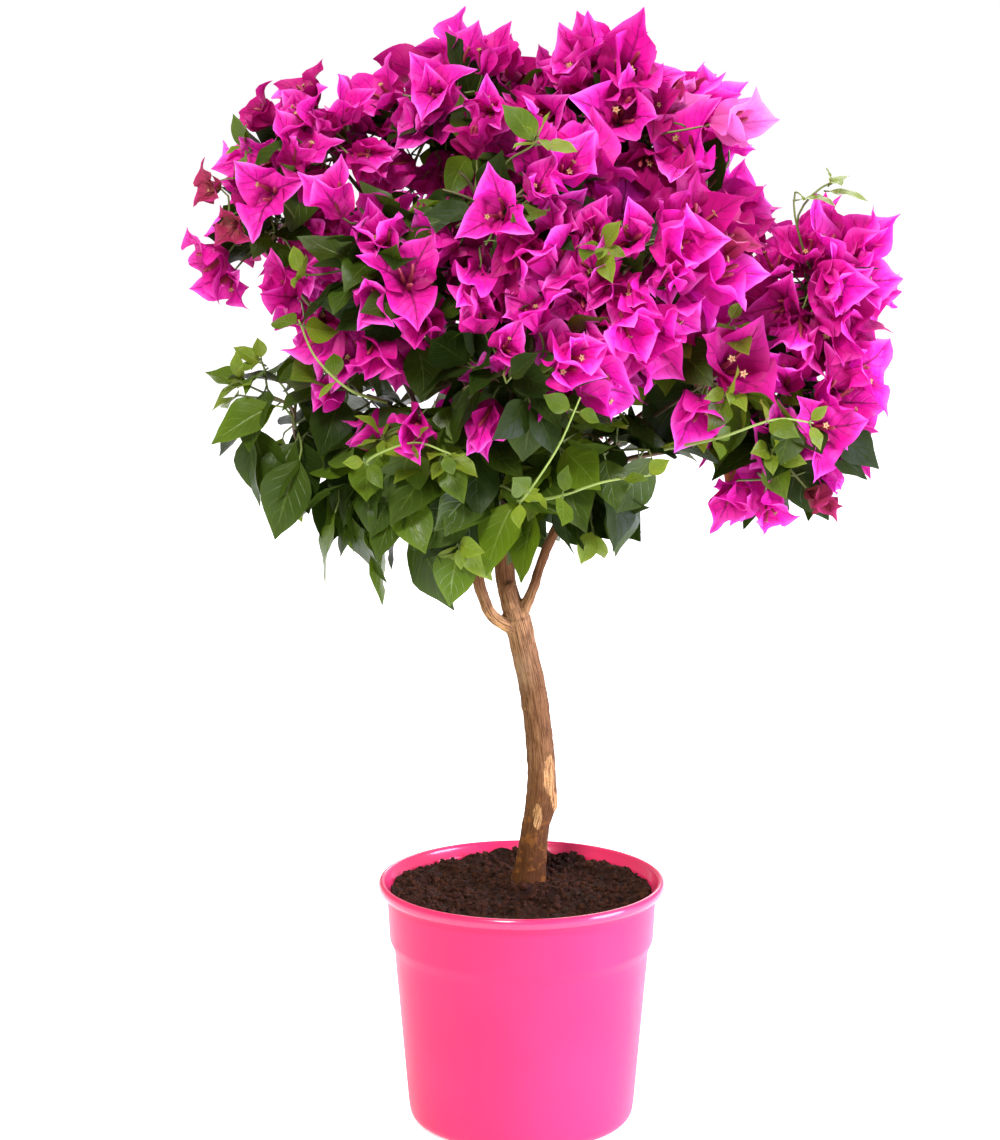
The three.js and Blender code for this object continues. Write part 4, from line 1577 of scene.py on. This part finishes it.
    def seated(self, place: Array, axis: Array, reach: float) -> Array:
        """Moves a spray's place in, until what reaches furthest from it stands only a little out.

        Args:
            place: where the spray is.
            axis: the way that it faces.
            reach: how far it reaches along its axis.

        Returns:
            Where it is now.
        """
        for _ in range(3):
            tight = 4 * float(eased(place[0], 130, 190))
            out = -self.depth((place + axis * reach)[None])[0] - self.proud + tight
            if out > 0:
                place = place - self.outward(place[None])[0] * out
        spread = self.spread * np.sqrt(1 - axis**2)
        over = place + np.maximum(axis * reach, 0) + spread - self.high - self.over
        under = self.low - self.over - (place + np.minimum(axis * reach, 0) - spread)
        return place - np.maximum(over, 0) + np.maximum(under, 0)

    def local_size(self, place: Array) -> float:
        """How large the bracts are at a place: they are larger towards the right side of the crown."""
        return 0.9 + 0.25 * float(eased(place[0], -130, 110))

    def in_line(self, points: Array, spots: tuple[Spot, ...]) -> bool:
        """Whether any of the points is within reach of a line of sight through one of the spots.

        Args:
            points: the points, one a row.
            spots: the spots.

        Returns:
            Whether one of them is.
        """
        eye = np.array(self.eye)
        for x, z, reach in spots:
            way = unit(np.array([x, 0.0, z]) - eye)
            if np.linalg.norm(np.cross(points - eye, way), axis=1).min() < reach:
                return True
        return False

    def ahead(self, place: Array, axis: Array) -> Array:
        """A spray's place and two points along its axis, to hold against the gaps."""
        return np.array([place, place + axis * 16, place + axis * 28])

    def in_gap(self, points: Array) -> bool:
        """Whether any of the points is in a gap that shows the light behind the crown."""
        return self.in_line(points, self.gaps)

    def stem_roots(self, bough: str) -> dict[str, tuple[Array, Array]]:
        """Where each stem leaves the end of its bough: spaced round it, in the order of the ways they go.

        Args:
            bough: the bough's name.

        Returns:
            For each mass on it, the stem's start and the bough's direction.
        """
        path = BOUGHS[bough].path()
        end, along = path.at(1.0)[0], unit(path.samples[-1] - path.samples[-2])
        side = unit(np.cross(along, np.array([0.0, 1.0, 0.0])))
        over = np.cross(along, side)
        ways = {name: np.array(mass.middle) - end for name, mass in MASSES.items() if mass.bough == bough}
        bearing = {name: math.atan2(way @ over, way @ side) for name, way in ways.items()}
        carried = sorted(bearing, key=bearing.get)
        ring = BOUGHS[bough].tip + self.overhang
        step = math.tau / len(carried)
        off = [bearing[name] - step * i for i, name in enumerate(carried)]
        turn = math.atan2(sum(map(math.sin, off)), sum(map(math.cos, off)))
        angles = [turn + step * i for i in range(len(carried))]
        roots = [end + ring * (side * math.cos(a) + over * math.sin(a)) for a in angles]
        return {name: (root, along) for name, root in zip(carried, roots)}

    def stem(self, name: str, root: Array, along: Array) -> Path:
        """A mass's stem: out of its bough in the bough's direction, over to the mass and through it.

        Args:
            name: the mass.
            root: where the stem starts.
            along: the bough's direction there.

        Returns:
            Its middle line.
        """
        middle, reach = np.array(MASSES[name].middle, float), np.array(MASSES[name].reach)
        end = middle + unit(middle - np.array(self.heart)) * reach * self.past
        start = root + along * self.straight * np.linalg.norm(middle - root)
        return Path.bent(root, start, root + (middle - root) * self.turned, end)

    def twig(self, skeleton: Skeleton, place: Array, axis: Array, slender: bool, leaves: bool = True) -> Path:
        """Grows a twig from the skeleton to a place, where it arrives along an axis.

        Args:
            skeleton: what it grows from, to which it is added.
            place: its tip.
            axis: its direction there.
            slender: whether it is a fine green twig rather than a main one.
            leaves: whether it bears leaves along it.

        Returns:
            Its middle line.
        """
        foot = skeleton.leave(place, axis)
        start, heading, stout = skeleton.points[foot], skeleton.headings[foot], skeleton.radii[foot]
        far = np.linalg.norm(place - start)
        sway = self.random.normal(0, 0.05 * far, 3)
        path = Path.bent(start, start + heading * far * 0.3, place - axis * far * 0.35 + sway, place, 16)
        shares = np.linspace(0, 1, max(4, min(10, int(far / 7) + 2)))
        thick = self.fine_radii if slender else self.main_radii
        radii = np.minimum(thick[0] + (thick[1] - thick[0]) * shares, stout)
        store = self.green if slender else self.wood
        store.tube(path.at(shares), radii, 5, path.headings(shares))
        inner = shares[1:-1] < (0.65 if slender else 1)
        skeleton.add(path, shares[1:-1][inner], radii[1:-1][inner])
        if leaves:
            self.dress(path, slender)
        return path

    def dress(self, path: Path, slender: bool) -> None:
        """Sets leaves along a twig, each one turned on from the last.

        Args:
            path: the twig's middle line.
            slender: whether it is a fine green one.
        """
        spacing = (23 if self.blooming else 14) if slender else 18
        turn = self.random.uniform(0, math.tau)
        for along in np.arange(9, path.length - 5, spacing):
            turn += LEAF_TURN
            share = along / path.length
            place, heading = path.at(share)[0], path.headings(share)[0]
            self.leaf(place, heading, turn, 0.78 + 0.3 * (1 - share))

    def leaf(
        self,
        place: Array,
        heading: Array,
        turn: float,
        scale: float,
        shade: Shade | None = None,
        free: bool = False,
    ) -> bool:
        """One leaf on its stalk.

        Args:
            place: where its stalk leaves the twig.
            heading: the twig's direction there.
            turn: the angle about the twig at which it leaves.
            scale: its size, 1 for a full leaf.
            shade: its shade, or None to pick one by its depth in the crown.
            free: whether it may stand out of the crown.

        Returns:
            Whether there was room for it.
        """
        random, habit = self.random, self.leaves
        outward = self.outward(place[None])[0]
        off = beside(heading, turn)
        lean = math.radians(random.uniform(*habit.lean))
        way = heading * math.cos(lean) + off * math.sin(lean) + habit.outward * outward
        low = place[2] < self.hanging_below
        hangs = low and not free
        droop = habit.low_droop if hangs else habit.droop
        way = unit(way - UP * droop + random.normal(0, habit.stray, 3))
        face = unit(0.75 * outward + 0.55 * UP + random.normal(0, 0.25, 3))
        stalk = random.uniform(*habit.stalk) * scale
        root = place + way * stalk
        length = random.uniform(*habit.length) * scale * (habit.low_length if hangs else 1)
        width = length * random.uniform(*habit.width)
        tip = root + way * length
        along = np.array([root, root + way * length * 0.5, tip])
        boxed = np.all((along > self.low - self.over) & (along < self.high + self.over))
        if self.in_gap(along) or not boxed or tip[2] < habit.lowest and not free:
            return False
        if not free and self.depth(along).min() < (-9 if low else 6 if self.blooming else -5):
            return False
        depth = float(self.depth(root[None])[0])
        shade = shade or self.leaf_shade(depth, place)
        self.green.tube(np.array([place, place + way * stalk * 0.5, root]), np.array([0.6, 0.5, 0.45]), 4)
        shape = [length, width, random.uniform(*habit.bend), random.uniform(*habit.fold)]
        shape += [random.normal(0, habit.twist), habit.ripple * scale, random.uniform(0, ANY_TURN)]
        self.blades[shade].append(np.array([*root, *way, *face, *shape]))
        return True

    def full_leaf(self, root: Array, way: Array, shade: Shade) -> None:
        """A large leaf that hangs from the end of a twig.

        Args:
            root: the end of the twig.
            way: the direction in which it hangs.
            shade: its shade.
        """
        random, phase = self.random, 2.0
        length = random.uniform(42, 50)
        face = unit(self.outward(root[None])[0] + 0.35 * UP + random.normal(0, 0.15, 3))
        width = length * random.uniform(0.66, 0.76)
        shape = [length, width, random.uniform(0.1, 0.4), random.uniform(0.1, 0.35)]
        shape += [random.normal(0, 0.15), self.leaves.ripple, phase]
        self.blades[shade].append(np.array([*root, *way, *face, *shape]))

    def run(self, runner: Runner) -> None:
        """Lays a runner over the crown and sets its fresh leaves.

        Args:
            runner: the runner.
        """
        path = Path.through(runner.points)
        shares = np.linspace(0, 1, 26)
        self.runners.tube(path.at(shares), 1.15 - 0.6 * shares, 6, path.headings(shares))
        for share in runner.shares:
            place, heading = path.at(share)[0], path.headings(share)[0]
            for turn in self.random.uniform(0, ANY_TURN) + np.array([0, LEAF_TURN]):
                size = self.random.uniform(0.3, 0.62)
                shade = self.random.choice([Shade.FRESH, Shade.GREEN])
                self.leaf(place, heading, turn, size, shade, free=True)

    def leaf_shade(self, depth: float, place: Array) -> Shade:
        """A shade for a leaf: fresher outside, darker inside and low on the left, from older leaves and
        painted shade.

        Args:
            depth: how far it is inside the crown.
            place: where it is.

        Returns:
            The shade.
        """
        pick = self.random.uniform(0, 1)
        if pick < 0.006 and depth > 12:
            return Shade.DRY
        # painted shade: leaves deep in the crown are dealt mostly the shaded colour
        if depth > 30:
            return dealt(pick, DEEP_LEAVES)
        if depth > 14:
            return dealt(pick, INNER_LEAVES)
        # painted shade: leaves low on the left are dealt the shaded colour almost half the time
        low_left = place[0] < -72 and place[2] < 520
        return dealt(pick, LOW_LEFT_LEAVES if low_left else OUTER_LEAVES)

    def whorl(self, place: Array, axis: Array, fresh: bool, size: float) -> Array | None:
        """A leafy tip: leaves that turn round it, the smallest at its end.

        Args:
            place: the tip of the twig.
            axis: its direction there.
            fresh: whether it is a light young tip.
            size: the size of a tip that stands free of the crown, or 0 for one in it.

        Returns:
            Where the outermost leaf stands, or None where there is room for none.
        """
        turn = self.random.uniform(0, ANY_TURN)
        count = 6 if fresh else 5
        outermost = None
        for i in range(count):
            turn += LEAF_TURN
            share = i / count
            scale = (0.30 + 0.55 * share) if fresh else (0.62 + 0.45 * share)
            shade = None
            if fresh:
                shade = Shade.FRESH if share < 0.7 else Shade.GREEN
            root = place - axis * (1 + 11 * share)
            if self.leaf(root, axis, turn, scale * (0.8 * size or 1), shade, size > 0) and outermost is None:
                outermost = root
        return outermost

    def cluster(self, place: Array, axis: Array, shade: Shade, most: int, size: float) -> None:
        """A spray of rosettes: one at the twig's tip, and others that lean away round it.

        Args:
            place: the tip of the twig.
            axis: its direction there.
            shade: the shade of most of them.
            most: how many there may be.
            size: how large they are, 1 for full bracts.
        """
        random, habit = self.random, self.bracts
        size *= habit.blush_size if shade is Shade.BLUSH else 1
        self.rosette(place, axis, shade, random.uniform(*habit.top_size) * size)
        turn = random.uniform(0, math.tau)
        for _ in range(min(most - 1, int(random.choice(len(habit.counts), p=habit.counts)))):
            turn += random.uniform(*habit.step)
            off = beside(axis, turn)
            tilt = math.radians(random.uniform(*habit.tilt))
            own_axis = unit(math.cos(tilt) * axis + math.sin(tilt) * off)
            own_place = place + off * random.uniform(*habit.apart) - axis * random.uniform(*habit.back)
            own_place = self.seated(own_place, own_axis, self.side_reach * self.local_size(own_place))
            along, in_front = self.ahead(own_place, own_axis), own_place[1] < self.front
            if self.in_gap(along) or in_front and self.in_line(along[:2], self.hollows + self.leafy):
                continue
            stalk = Path.bent(place - axis * 17, place - axis * 9, own_place - own_axis * 9, own_place, 6)
            self.green.tube(stalk.at(np.linspace(0, 1, 5)), np.linspace(0.7, 0.55, 5), 5)
            own_shade = shade if random.uniform(0, 1) < habit.same else self.bract_shade(own_place)
            self.rosette(own_place, own_axis, own_shade, random.uniform(*habit.side_size) * size)

    def rosette(self, place: Array, axis: Array, shade: Shade, scale: float = 1.0) -> None:
        """Three bracts round an axis, each with a slender flower that stands on its midrib.

        Args:
            place: where the bracts join.
            axis: the direction that they face.
            shade: their shade.
            scale: their size, 1 for full bracts.
        """
        random, habit = self.random, self.bracts
        spin = random.uniform(0, math.tau)
        closed = random.uniform(0, 1) < habit.closed
        lean = math.radians(random.uniform(*(habit.closed_lean if closed else habit.open_lean)))
        bend = math.radians(random.uniform(*(habit.closed_bend if closed else habit.open_bend)))
        scale *= self.local_size(place)
        for i in range(3):
            off = beside(axis, spin + math.tau * i / 3 + random.normal(0, 0.16))
            own_lean = lean + random.normal(0, 0.12)
            way = math.cos(own_lean) * axis + math.sin(own_lean) * off
            face = math.sin(own_lean) * axis - math.cos(own_lean) * off
            length = random.uniform(*habit.length) * scale
            width = length * random.uniform(*habit.width)
            shape = [length, width, bend + random.normal(0, 0.3), random.uniform(*habit.fold)]
            shape += [random.normal(0, 0.3), random.uniform(*habit.ripple) * scale]
            shape.append(random.uniform(0, ANY_TURN))
            self.blades[shade].append(np.array([*(place + off * 0.8), *way, *face, *shape]))
            self.flower(place + way * 4 * scale, unit(axis + 0.28 * off + random.normal(0, 0.1, 3)), scale)

    def flower(self, root: Array, way: Array, scale: float) -> None:
        """A slender tube with a waist, open as a small star or still shut.

        Args:
            root: where it starts.
            way: its direction.
            scale: its size, 1 for a full one.
        """
        random = self.random
        length = random.uniform(*self.bracts.flower) * scale
        bow = random.normal(0, 1.4, 3)
        shares = np.array([0, 0.25, 0.6, 0.86, 0.97, 1.0])
        line = root + way * length * shares[:, None] + bow * (shares * (1 - shares) * 2)[:, None]
        open_star = random.uniform(0, 1) < self.bracts.open_flowers
        mouth = (1.0, 0.9, 0.75) if open_star else (1.3, 0.8, 0.2)
        self.flowers.tube(line, np.array([0.9, 1.75, 1.1, *mouth]) * scale, 5)
        if not open_star:
            return
        end, way = line[-1], unit(line[-1] - line[-2])
        first, second = carried_frames(way[None])
        angles = np.linspace(0, math.tau, 11)
        reach = np.where(np.arange(11) % 2 == 0, 2.4, 1.35)
        ring = np.cos(angles)[:, None] * first + np.sin(angles)[:, None] * second
        rows = [end + ring * 0.7 * scale, end + ring * reach[:, None] * scale + way * 0.5 * scale]
        rows.append(end + ring * 0.15 * scale - way * 0.2 * scale)
        spots = np.stack(np.meshgrid(np.linspace(0, 1, 11), [0, 0.5, 1.0]), axis=-1)
        self.stars.grid(np.array([rows]), spots)

    def offered(self, index: int) -> Array:
        """The places that the source offers a mass, in its own space.

        Args:
            index: the mass's place in the list of masses.

        Returns:
            The places, one a row.
        """
        stream = source_random(4001 + 97 * index)
        draws = np.array(list(itertools.islice(stream, 3 * self.offers))).reshape(-1, 3)
        places = (2 * draws - 1) * self.reaches[index] + self.middles[index]
        return places[self.own(places, index) & (self.depth(places) > 0)]

    def shell(self, index: int, low: float, high: float, count: int) -> Array:
        """Places in a mass's own space that are between two depths inside the crown.

        Args:
            index: the mass's place in the list of masses.
            low: the least depth.
            high: the greatest.
            count: how many are tried.

        Returns:
            The places, one a row.
        """
        ways = unit(self.random.normal(0, 1, (count, 3)))
        depths = self.random.uniform(low, high, (count, 1))
        places = self.middles[index] + ways * (self.reaches[index] - depths)
        found = self.depth(places)
        return places[self.own(places, index) & (found > low - 1) & (found < high + 4)]

    def emptiest(self, places: Array, least: float, most: int, filled: Array) -> list[Array]:
        """Takes the places with the most room, one after another.

        Args:
            places: the places offered.
            least: the room that a place needs.
            most: how many may be taken.
            filled: what is there already.

        Returns:
            The places taken.
        """
        if not len(places):
            return []
        room = np.full(len(places), 1e9)
        for point in filled:
            room = np.minimum(room, np.linalg.norm(places - point, axis=1))
        taken = []
        while len(taken) < most and room.max() > least:
            best = int(np.argmax(room))
            taken.append(places[best])
            room = np.minimum(room, np.linalg.norm(places - places[best], axis=1))
        return taken

    def axis_at(self, place: Array, wander: float) -> Array:
        """The way that a tip faces: out of the crown, a little up, and somewhat at random."""
        outward = self.outward(place[None])[0]
        return unit(outward + 0.12 * UP + self.random.normal(0, wander, 3))

    def bract_shade(self, place: Array) -> Shade:
        """A shade for a spray of bracts, picked at random, with the bright share rising and falling in lumps
        over the crown.

        Args:
            place: where it is.

        Returns:
            The shade.
        """
        bright = 0.52 + 0.12 * lumps(place[None], 45, 9)[0]
        deal = ((0.02, Shade.BLUSH), (bright, Shade.BRIGHT), (0.84, Shade.RICH), (1.0, Shade.DEEP))
        return dealt(self.random.uniform(0, 1), deal)

    def grow(self, name: str, root: Array, along: Array) -> None:
        """Grows one mass: its stem, main twigs into its space, and fine twigs to its tips.

        Args:
            name: the mass.
            root: where its stem starts.
            along: the bough's direction there.
        """
        index, mass = list(MASSES).index(name), MASSES[name]
        self.blooming = mass.bloom > 0.3
        stem = self.stem(name, root, along)
        shares = np.linspace(0, 1, 22)
        radii = self.stem_radii[0] + (self.stem_radii[1] - self.stem_radii[0]) * shares
        line = stem.at(shares)
        line[0] -= along * 5
        self.wood.tube(line, radii, 7)
        skeleton = self.skeletons[name] = Skeleton()
        skeleton.add(stem, np.linspace(0.3, 1, 14), np.linspace(1.8, 1.0, 14))
        start = [stem.at(share)[0] for share in (0.5, 0.75, 1.0)]
        offered = self.offered(index)
        inside = offered[self.depth(offered) > self.covered]
        for place in self.emptiest(inside, self.main_room, self.main_twigs, np.array(start)):
            self.twig(skeleton, place, self.axis_at(place, 0.3), slender=False)
        for sprig in SPRIGS:
            if sprig.mass == name:
                self.set_sprig(sprig)
        self.tip_outside(skeleton, index, mass)
        inner = self.shell(index, *self.inner_depths, self.inner_offers)
        for place in self.emptiest(inner, self.inner_room, self.inner_most, np.array(self.tips)):
            # painted shade: rosettes deep inside the crown all take the darkest bract colour
            blooms = self.random.uniform(0, 1) < 0.5 * mass.bloom
            kind, shade = (Tip.BRACTS, Shade.DEEP) if blooms else (Tip.LEAVES, None)
            self.finish_tip(skeleton, place, self.axis_at(place, self.inner_wander), kind, shade)

    def set_sprig(self, sprig: Sprig) -> None:
        """Grows a twig to a sprig's place and ends it."""
        place, axis = np.array(sprig.place, float), unit(np.array(sprig.axis))
        self.finish_tip(self.skeletons[sprig.mass], place, axis, sprig.kind, sprig.shade, sprig.size)

    def thicken(self) -> None:
        """Fills the depths of the masses that bloom most with twigs that end in leaves."""
        self.blooming = True
        for index, (name, mass) in enumerate(MASSES.items()):
            if mass.bloom < self.deep_bloom:
                continue
            places = self.shell(index, *self.deep, self.deep_offers)
            for place in self.emptiest(places, self.deep_room, self.deep_most, np.array(self.tips)):
                axis = self.axis_at(place, self.inner_wander)
                self.finish_tip(self.skeletons[name], place, axis, Tip.LEAVES)
        for sprig in BACKING:
            self.set_sprig(sprig)

    def tip_outside(self, skeleton: Skeleton, index: int, mass: Mass) -> None:
        """Grows fine twigs to the crown's surface, until there is no more room for their tips.

        Args:
            skeleton: what they grow from.
            index: the mass's place in the list of masses.
            mass: the mass.
        """
        room = self.bract_room if self.blooming else self.leaf_room
        depths = self.bract_depths if self.blooming else self.leaf_depths
        places = self.shell(index, *depths, self.outer_offers)
        filled = np.array(self.tips or [[0.0, 0.0, 0.0]])
        for place in self.emptiest(places, room, self.outer_most, filled):
            blooms = self.random.uniform(0, 1) < mass.bloom
            fresh = self.random.uniform(0, 1) < mass.young
            kind = Tip.BRACTS if blooms else (Tip.FRESH if fresh else Tip.LEAVES)
            axis = self.axis_at(place, self.outer_wander)
            reach = self.bract_reach * self.local_size(place) if blooms else self.leaf_reach
            self.finish_tip(skeleton, self.seated(place, axis, reach), axis, kind)

    def finish_tip(
        self,
        skeleton: Skeleton,
        place: Array,
        axis: Array,
        kind: Tip,
        shade: Shade | None = None,
        size: float = 0.0,
    ) -> None:
        """Grows a fine twig to a place and ends it in bracts or leaves.

        Args:
            skeleton: what it grows from.
            place: its tip.
            axis: its direction there.
            kind: what it ends in.
            shade: a shade, or None to pick one.
            size: of a sprig that is named, or 0 for an ordinary tip.
        """
        self.tips.append(place)
        named, in_front = size > 0, place[1] < self.front
        along = self.ahead(place, axis)
        if not named and (self.in_gap(along) or in_front and self.in_line(along[:2], self.hollows)):
            return
        if kind is Tip.BRACTS and not named and in_front and self.in_line(along[:2], self.leafy):
            kind, shade = Tip.LEAVES, None
        end = place
        if kind is Tip.LEAF:
            self.full_leaf(place, axis, shade or Shade.MATURE)
        elif kind is Tip.BRACTS:
            self.cluster(place, axis, shade or self.bract_shade(place), 2 if named else 4, size or 1.0)
        else:
            end = self.whorl(place, axis, kind is Tip.FRESH, size)
        if end is not None:
            self.twig(skeleton, end, axis, slender=True)

    def build(self) -> None:
        """Grows every mass, then makes the pieces."""
        for bough in BOUGHS:
            for name, (root, along) in self.stem_roots(bough).items():
                self.grow(name, root, along)
        for runner in RUNNERS:
            self.run(runner)
        self.thicken()
        nodes = tuple(MASSES)
        for shade, blades in self.blades.items():
            if not blades:
                continue
            is_leaf = shade.value.name.startswith("leaf")
            shape = LEAF_SHAPE if is_leaf else BRACT_SHAPE
            gathered = Gathered()
            gathered.grid(*shape.sheets(np.array(blades)))
            piece = gathered.piece(shade.value.name, shade.value.material())
            log.info("%s: %d blades", shade.value.name, len(blades))
            fit(piece, Slot.LEAVES if is_leaf else Slot.BRACTS, *nodes)
        stores = (self.wood, self.green, self.runners, self.flowers, self.stars)
        slots = (Slot.BARK, Slot.LEAVES, Slot.LEAVES, Slot.BRACTS, Slot.BRACTS)
        for store, slot, finish in zip(stores, slots, TWIG_FINISHES):
            fit(store.piece(finish.name, finish.material()), slot, *nodes)


# -------- the studio


@dataclass(frozen=True)
class Lamp:
    """A soft area light: where it is, its size, its power and its colour."""

    name: str
    place: Place
    size: float
    watts: float
    colour: Colour


@dataclass
class Studio:
    """The floor, the lights and the camera. Its sizes are in metres."""

    eye: Place = (-0.0135, -2.0, 0.744)
    pitch: float = 11.05  # degrees that the camera looks down
    sensor: float = 36  # in millimetres, as the focal length is
    focal: float = 104.2105
    aim: Place = (0.0, 0.0, 0.42)
    floor_reach: float = 60
    floor_drop: float = 0.0002  # it lies this far under the pot
    floor_glow: float = 0.6
    left_sky: Colour = (0.36, 0.35, 0.34)
    right_sky: Colour = (0.80, 0.74, 0.95)
    sides: Span = (0.2, 0.8)  # the sky turns from its left to its right colour between these
    haze: Span = (0.04, 0.14)  # the white over the horizon ends between these heights
    lamps: tuple[Lamp, ...] = (
        Lamp("key", (-0.6, -2.0, 2.3), 0.7, 91, (1.0, 0.97, 0.93)),
        Lamp("side", (2.0, -0.7, 0.6), 1.2, 95, (0.70, 0.66, 1.0)),
        Lamp("back", (0.5, 2.2, 1.7), 1.6, 30, (1.0, 1.0, 1.0)),
        Lamp("top", (0.1, 0.0, 2.6), 1.2, 40, (1.0, 1.0, 1.0)),
    )

    def build_floor(self) -> None:
        """A plain pale floor."""
        gathered = Gathered()
        line = np.linspace(-self.floor_reach, self.floor_reach, 9)
        x, y = np.meshgrid(line, line)
        sheet = np.stack([x, y, np.full_like(x, -self.floor_drop)], axis=-1) / MM
        gathered.grid(sheet[None], np.stack([x, y], axis=-1) / (2 * self.floor_reach) + 0.5)
        recipe = Recipe("pale_floor")
        cloud = recipe.noise(recipe.place(), 3, 2)
        colour = recipe.mixed(cloud, (0.93, 0.93, 0.93), (0.95, 0.95, 0.95))
        glow = {"Emission Color": (1, 1, 1), "Emission Strength": self.floor_glow}
        floor = gathered.piece("floor", recipe.surface(colour, 0.9, more=glow))

    def build_lights(self) -> None:
        """The lamps, turned to the plant."""
        for lamp in self.lamps:
            light = bpy.data.lights.new(lamp.name, "AREA")
            light.shape, light.size, light.energy, light.color = "DISK", lamp.size, lamp.watts, lamp.colour
            holder = bpy.data.objects.new(lamp.name, light)
            holder.location = lamp.place
            way = Vector(self.aim) - Vector(lamp.place)
            holder.rotation_euler = way.to_track_quat("-Z", "Y").to_euler()
            bpy.context.scene.collection.objects.link(holder)

    def build_sky(self) -> None:
        """A sky that is darker at the left and white down to the horizon."""
        world = bpy.data.worlds.new("surround")
        world.use_nodes = True
        sky = Nodes(world.node_tree)
        way = sky.node("ShaderNodeTexCoord").outputs["Generated"]
        ways = sky.node("ShaderNodeSeparateXYZ", {}, {0: way}).outputs
        sideways = ((self.sides[0], self.left_sky), (self.sides[1], self.right_sky))
        upward = ((self.haze[0], (0.0, 0.0, 0.0)), (self.haze[1], (1.0, 1.0, 1.0)))
        flank = sky.node("ShaderNodeValToRGB", {"stops": sideways}, {0: ways[0]}).outputs[0]
        height = sky.node("ShaderNodeValToRGB", {"stops": upward}, {0: ways[2]}).outputs[0]
        colour = sky.mixed(height, (1.0, 1.0, 1.0), flank)
        sky.tree.links.new(colour, sky.tree.nodes["Background"].inputs["Color"])
        bpy.context.scene.world = world

    def build_camera(self) -> None:
        """The camera in front, a little above the crown's middle."""
        camera = bpy.data.cameras.new("camera")
        camera.sensor_fit = "VERTICAL"
        camera.sensor_width = camera.sensor_height = self.sensor
        camera.lens = self.focal
        holder = bpy.data.objects.new("camera", camera)
        holder.location = self.eye
        holder.rotation_euler = (math.radians(90 - self.pitch), 0, 0)
        bpy.context.scene.collection.objects.link(holder)
        bpy.context.scene.camera = holder
        bpy.context.scene.view_settings.view_transform = "Standard"

    def build(self) -> None:
        """Sets the studio up."""
        self.build_floor()
        self.build_lights()
        self.build_sky()
        self.build_camera()


def main() -> None:
    """Builds the plant and its studio, one class after another."""
    logging.basicConfig(level=logging.INFO, format="%(name)s: %(message)s")
    for part in (Studio(), Pot(), Soil(), Wood(), Crown()):
        log.info("making %s", type(part).__name__.lower())
        part.build()


if __name__ == "__main__":
    main()
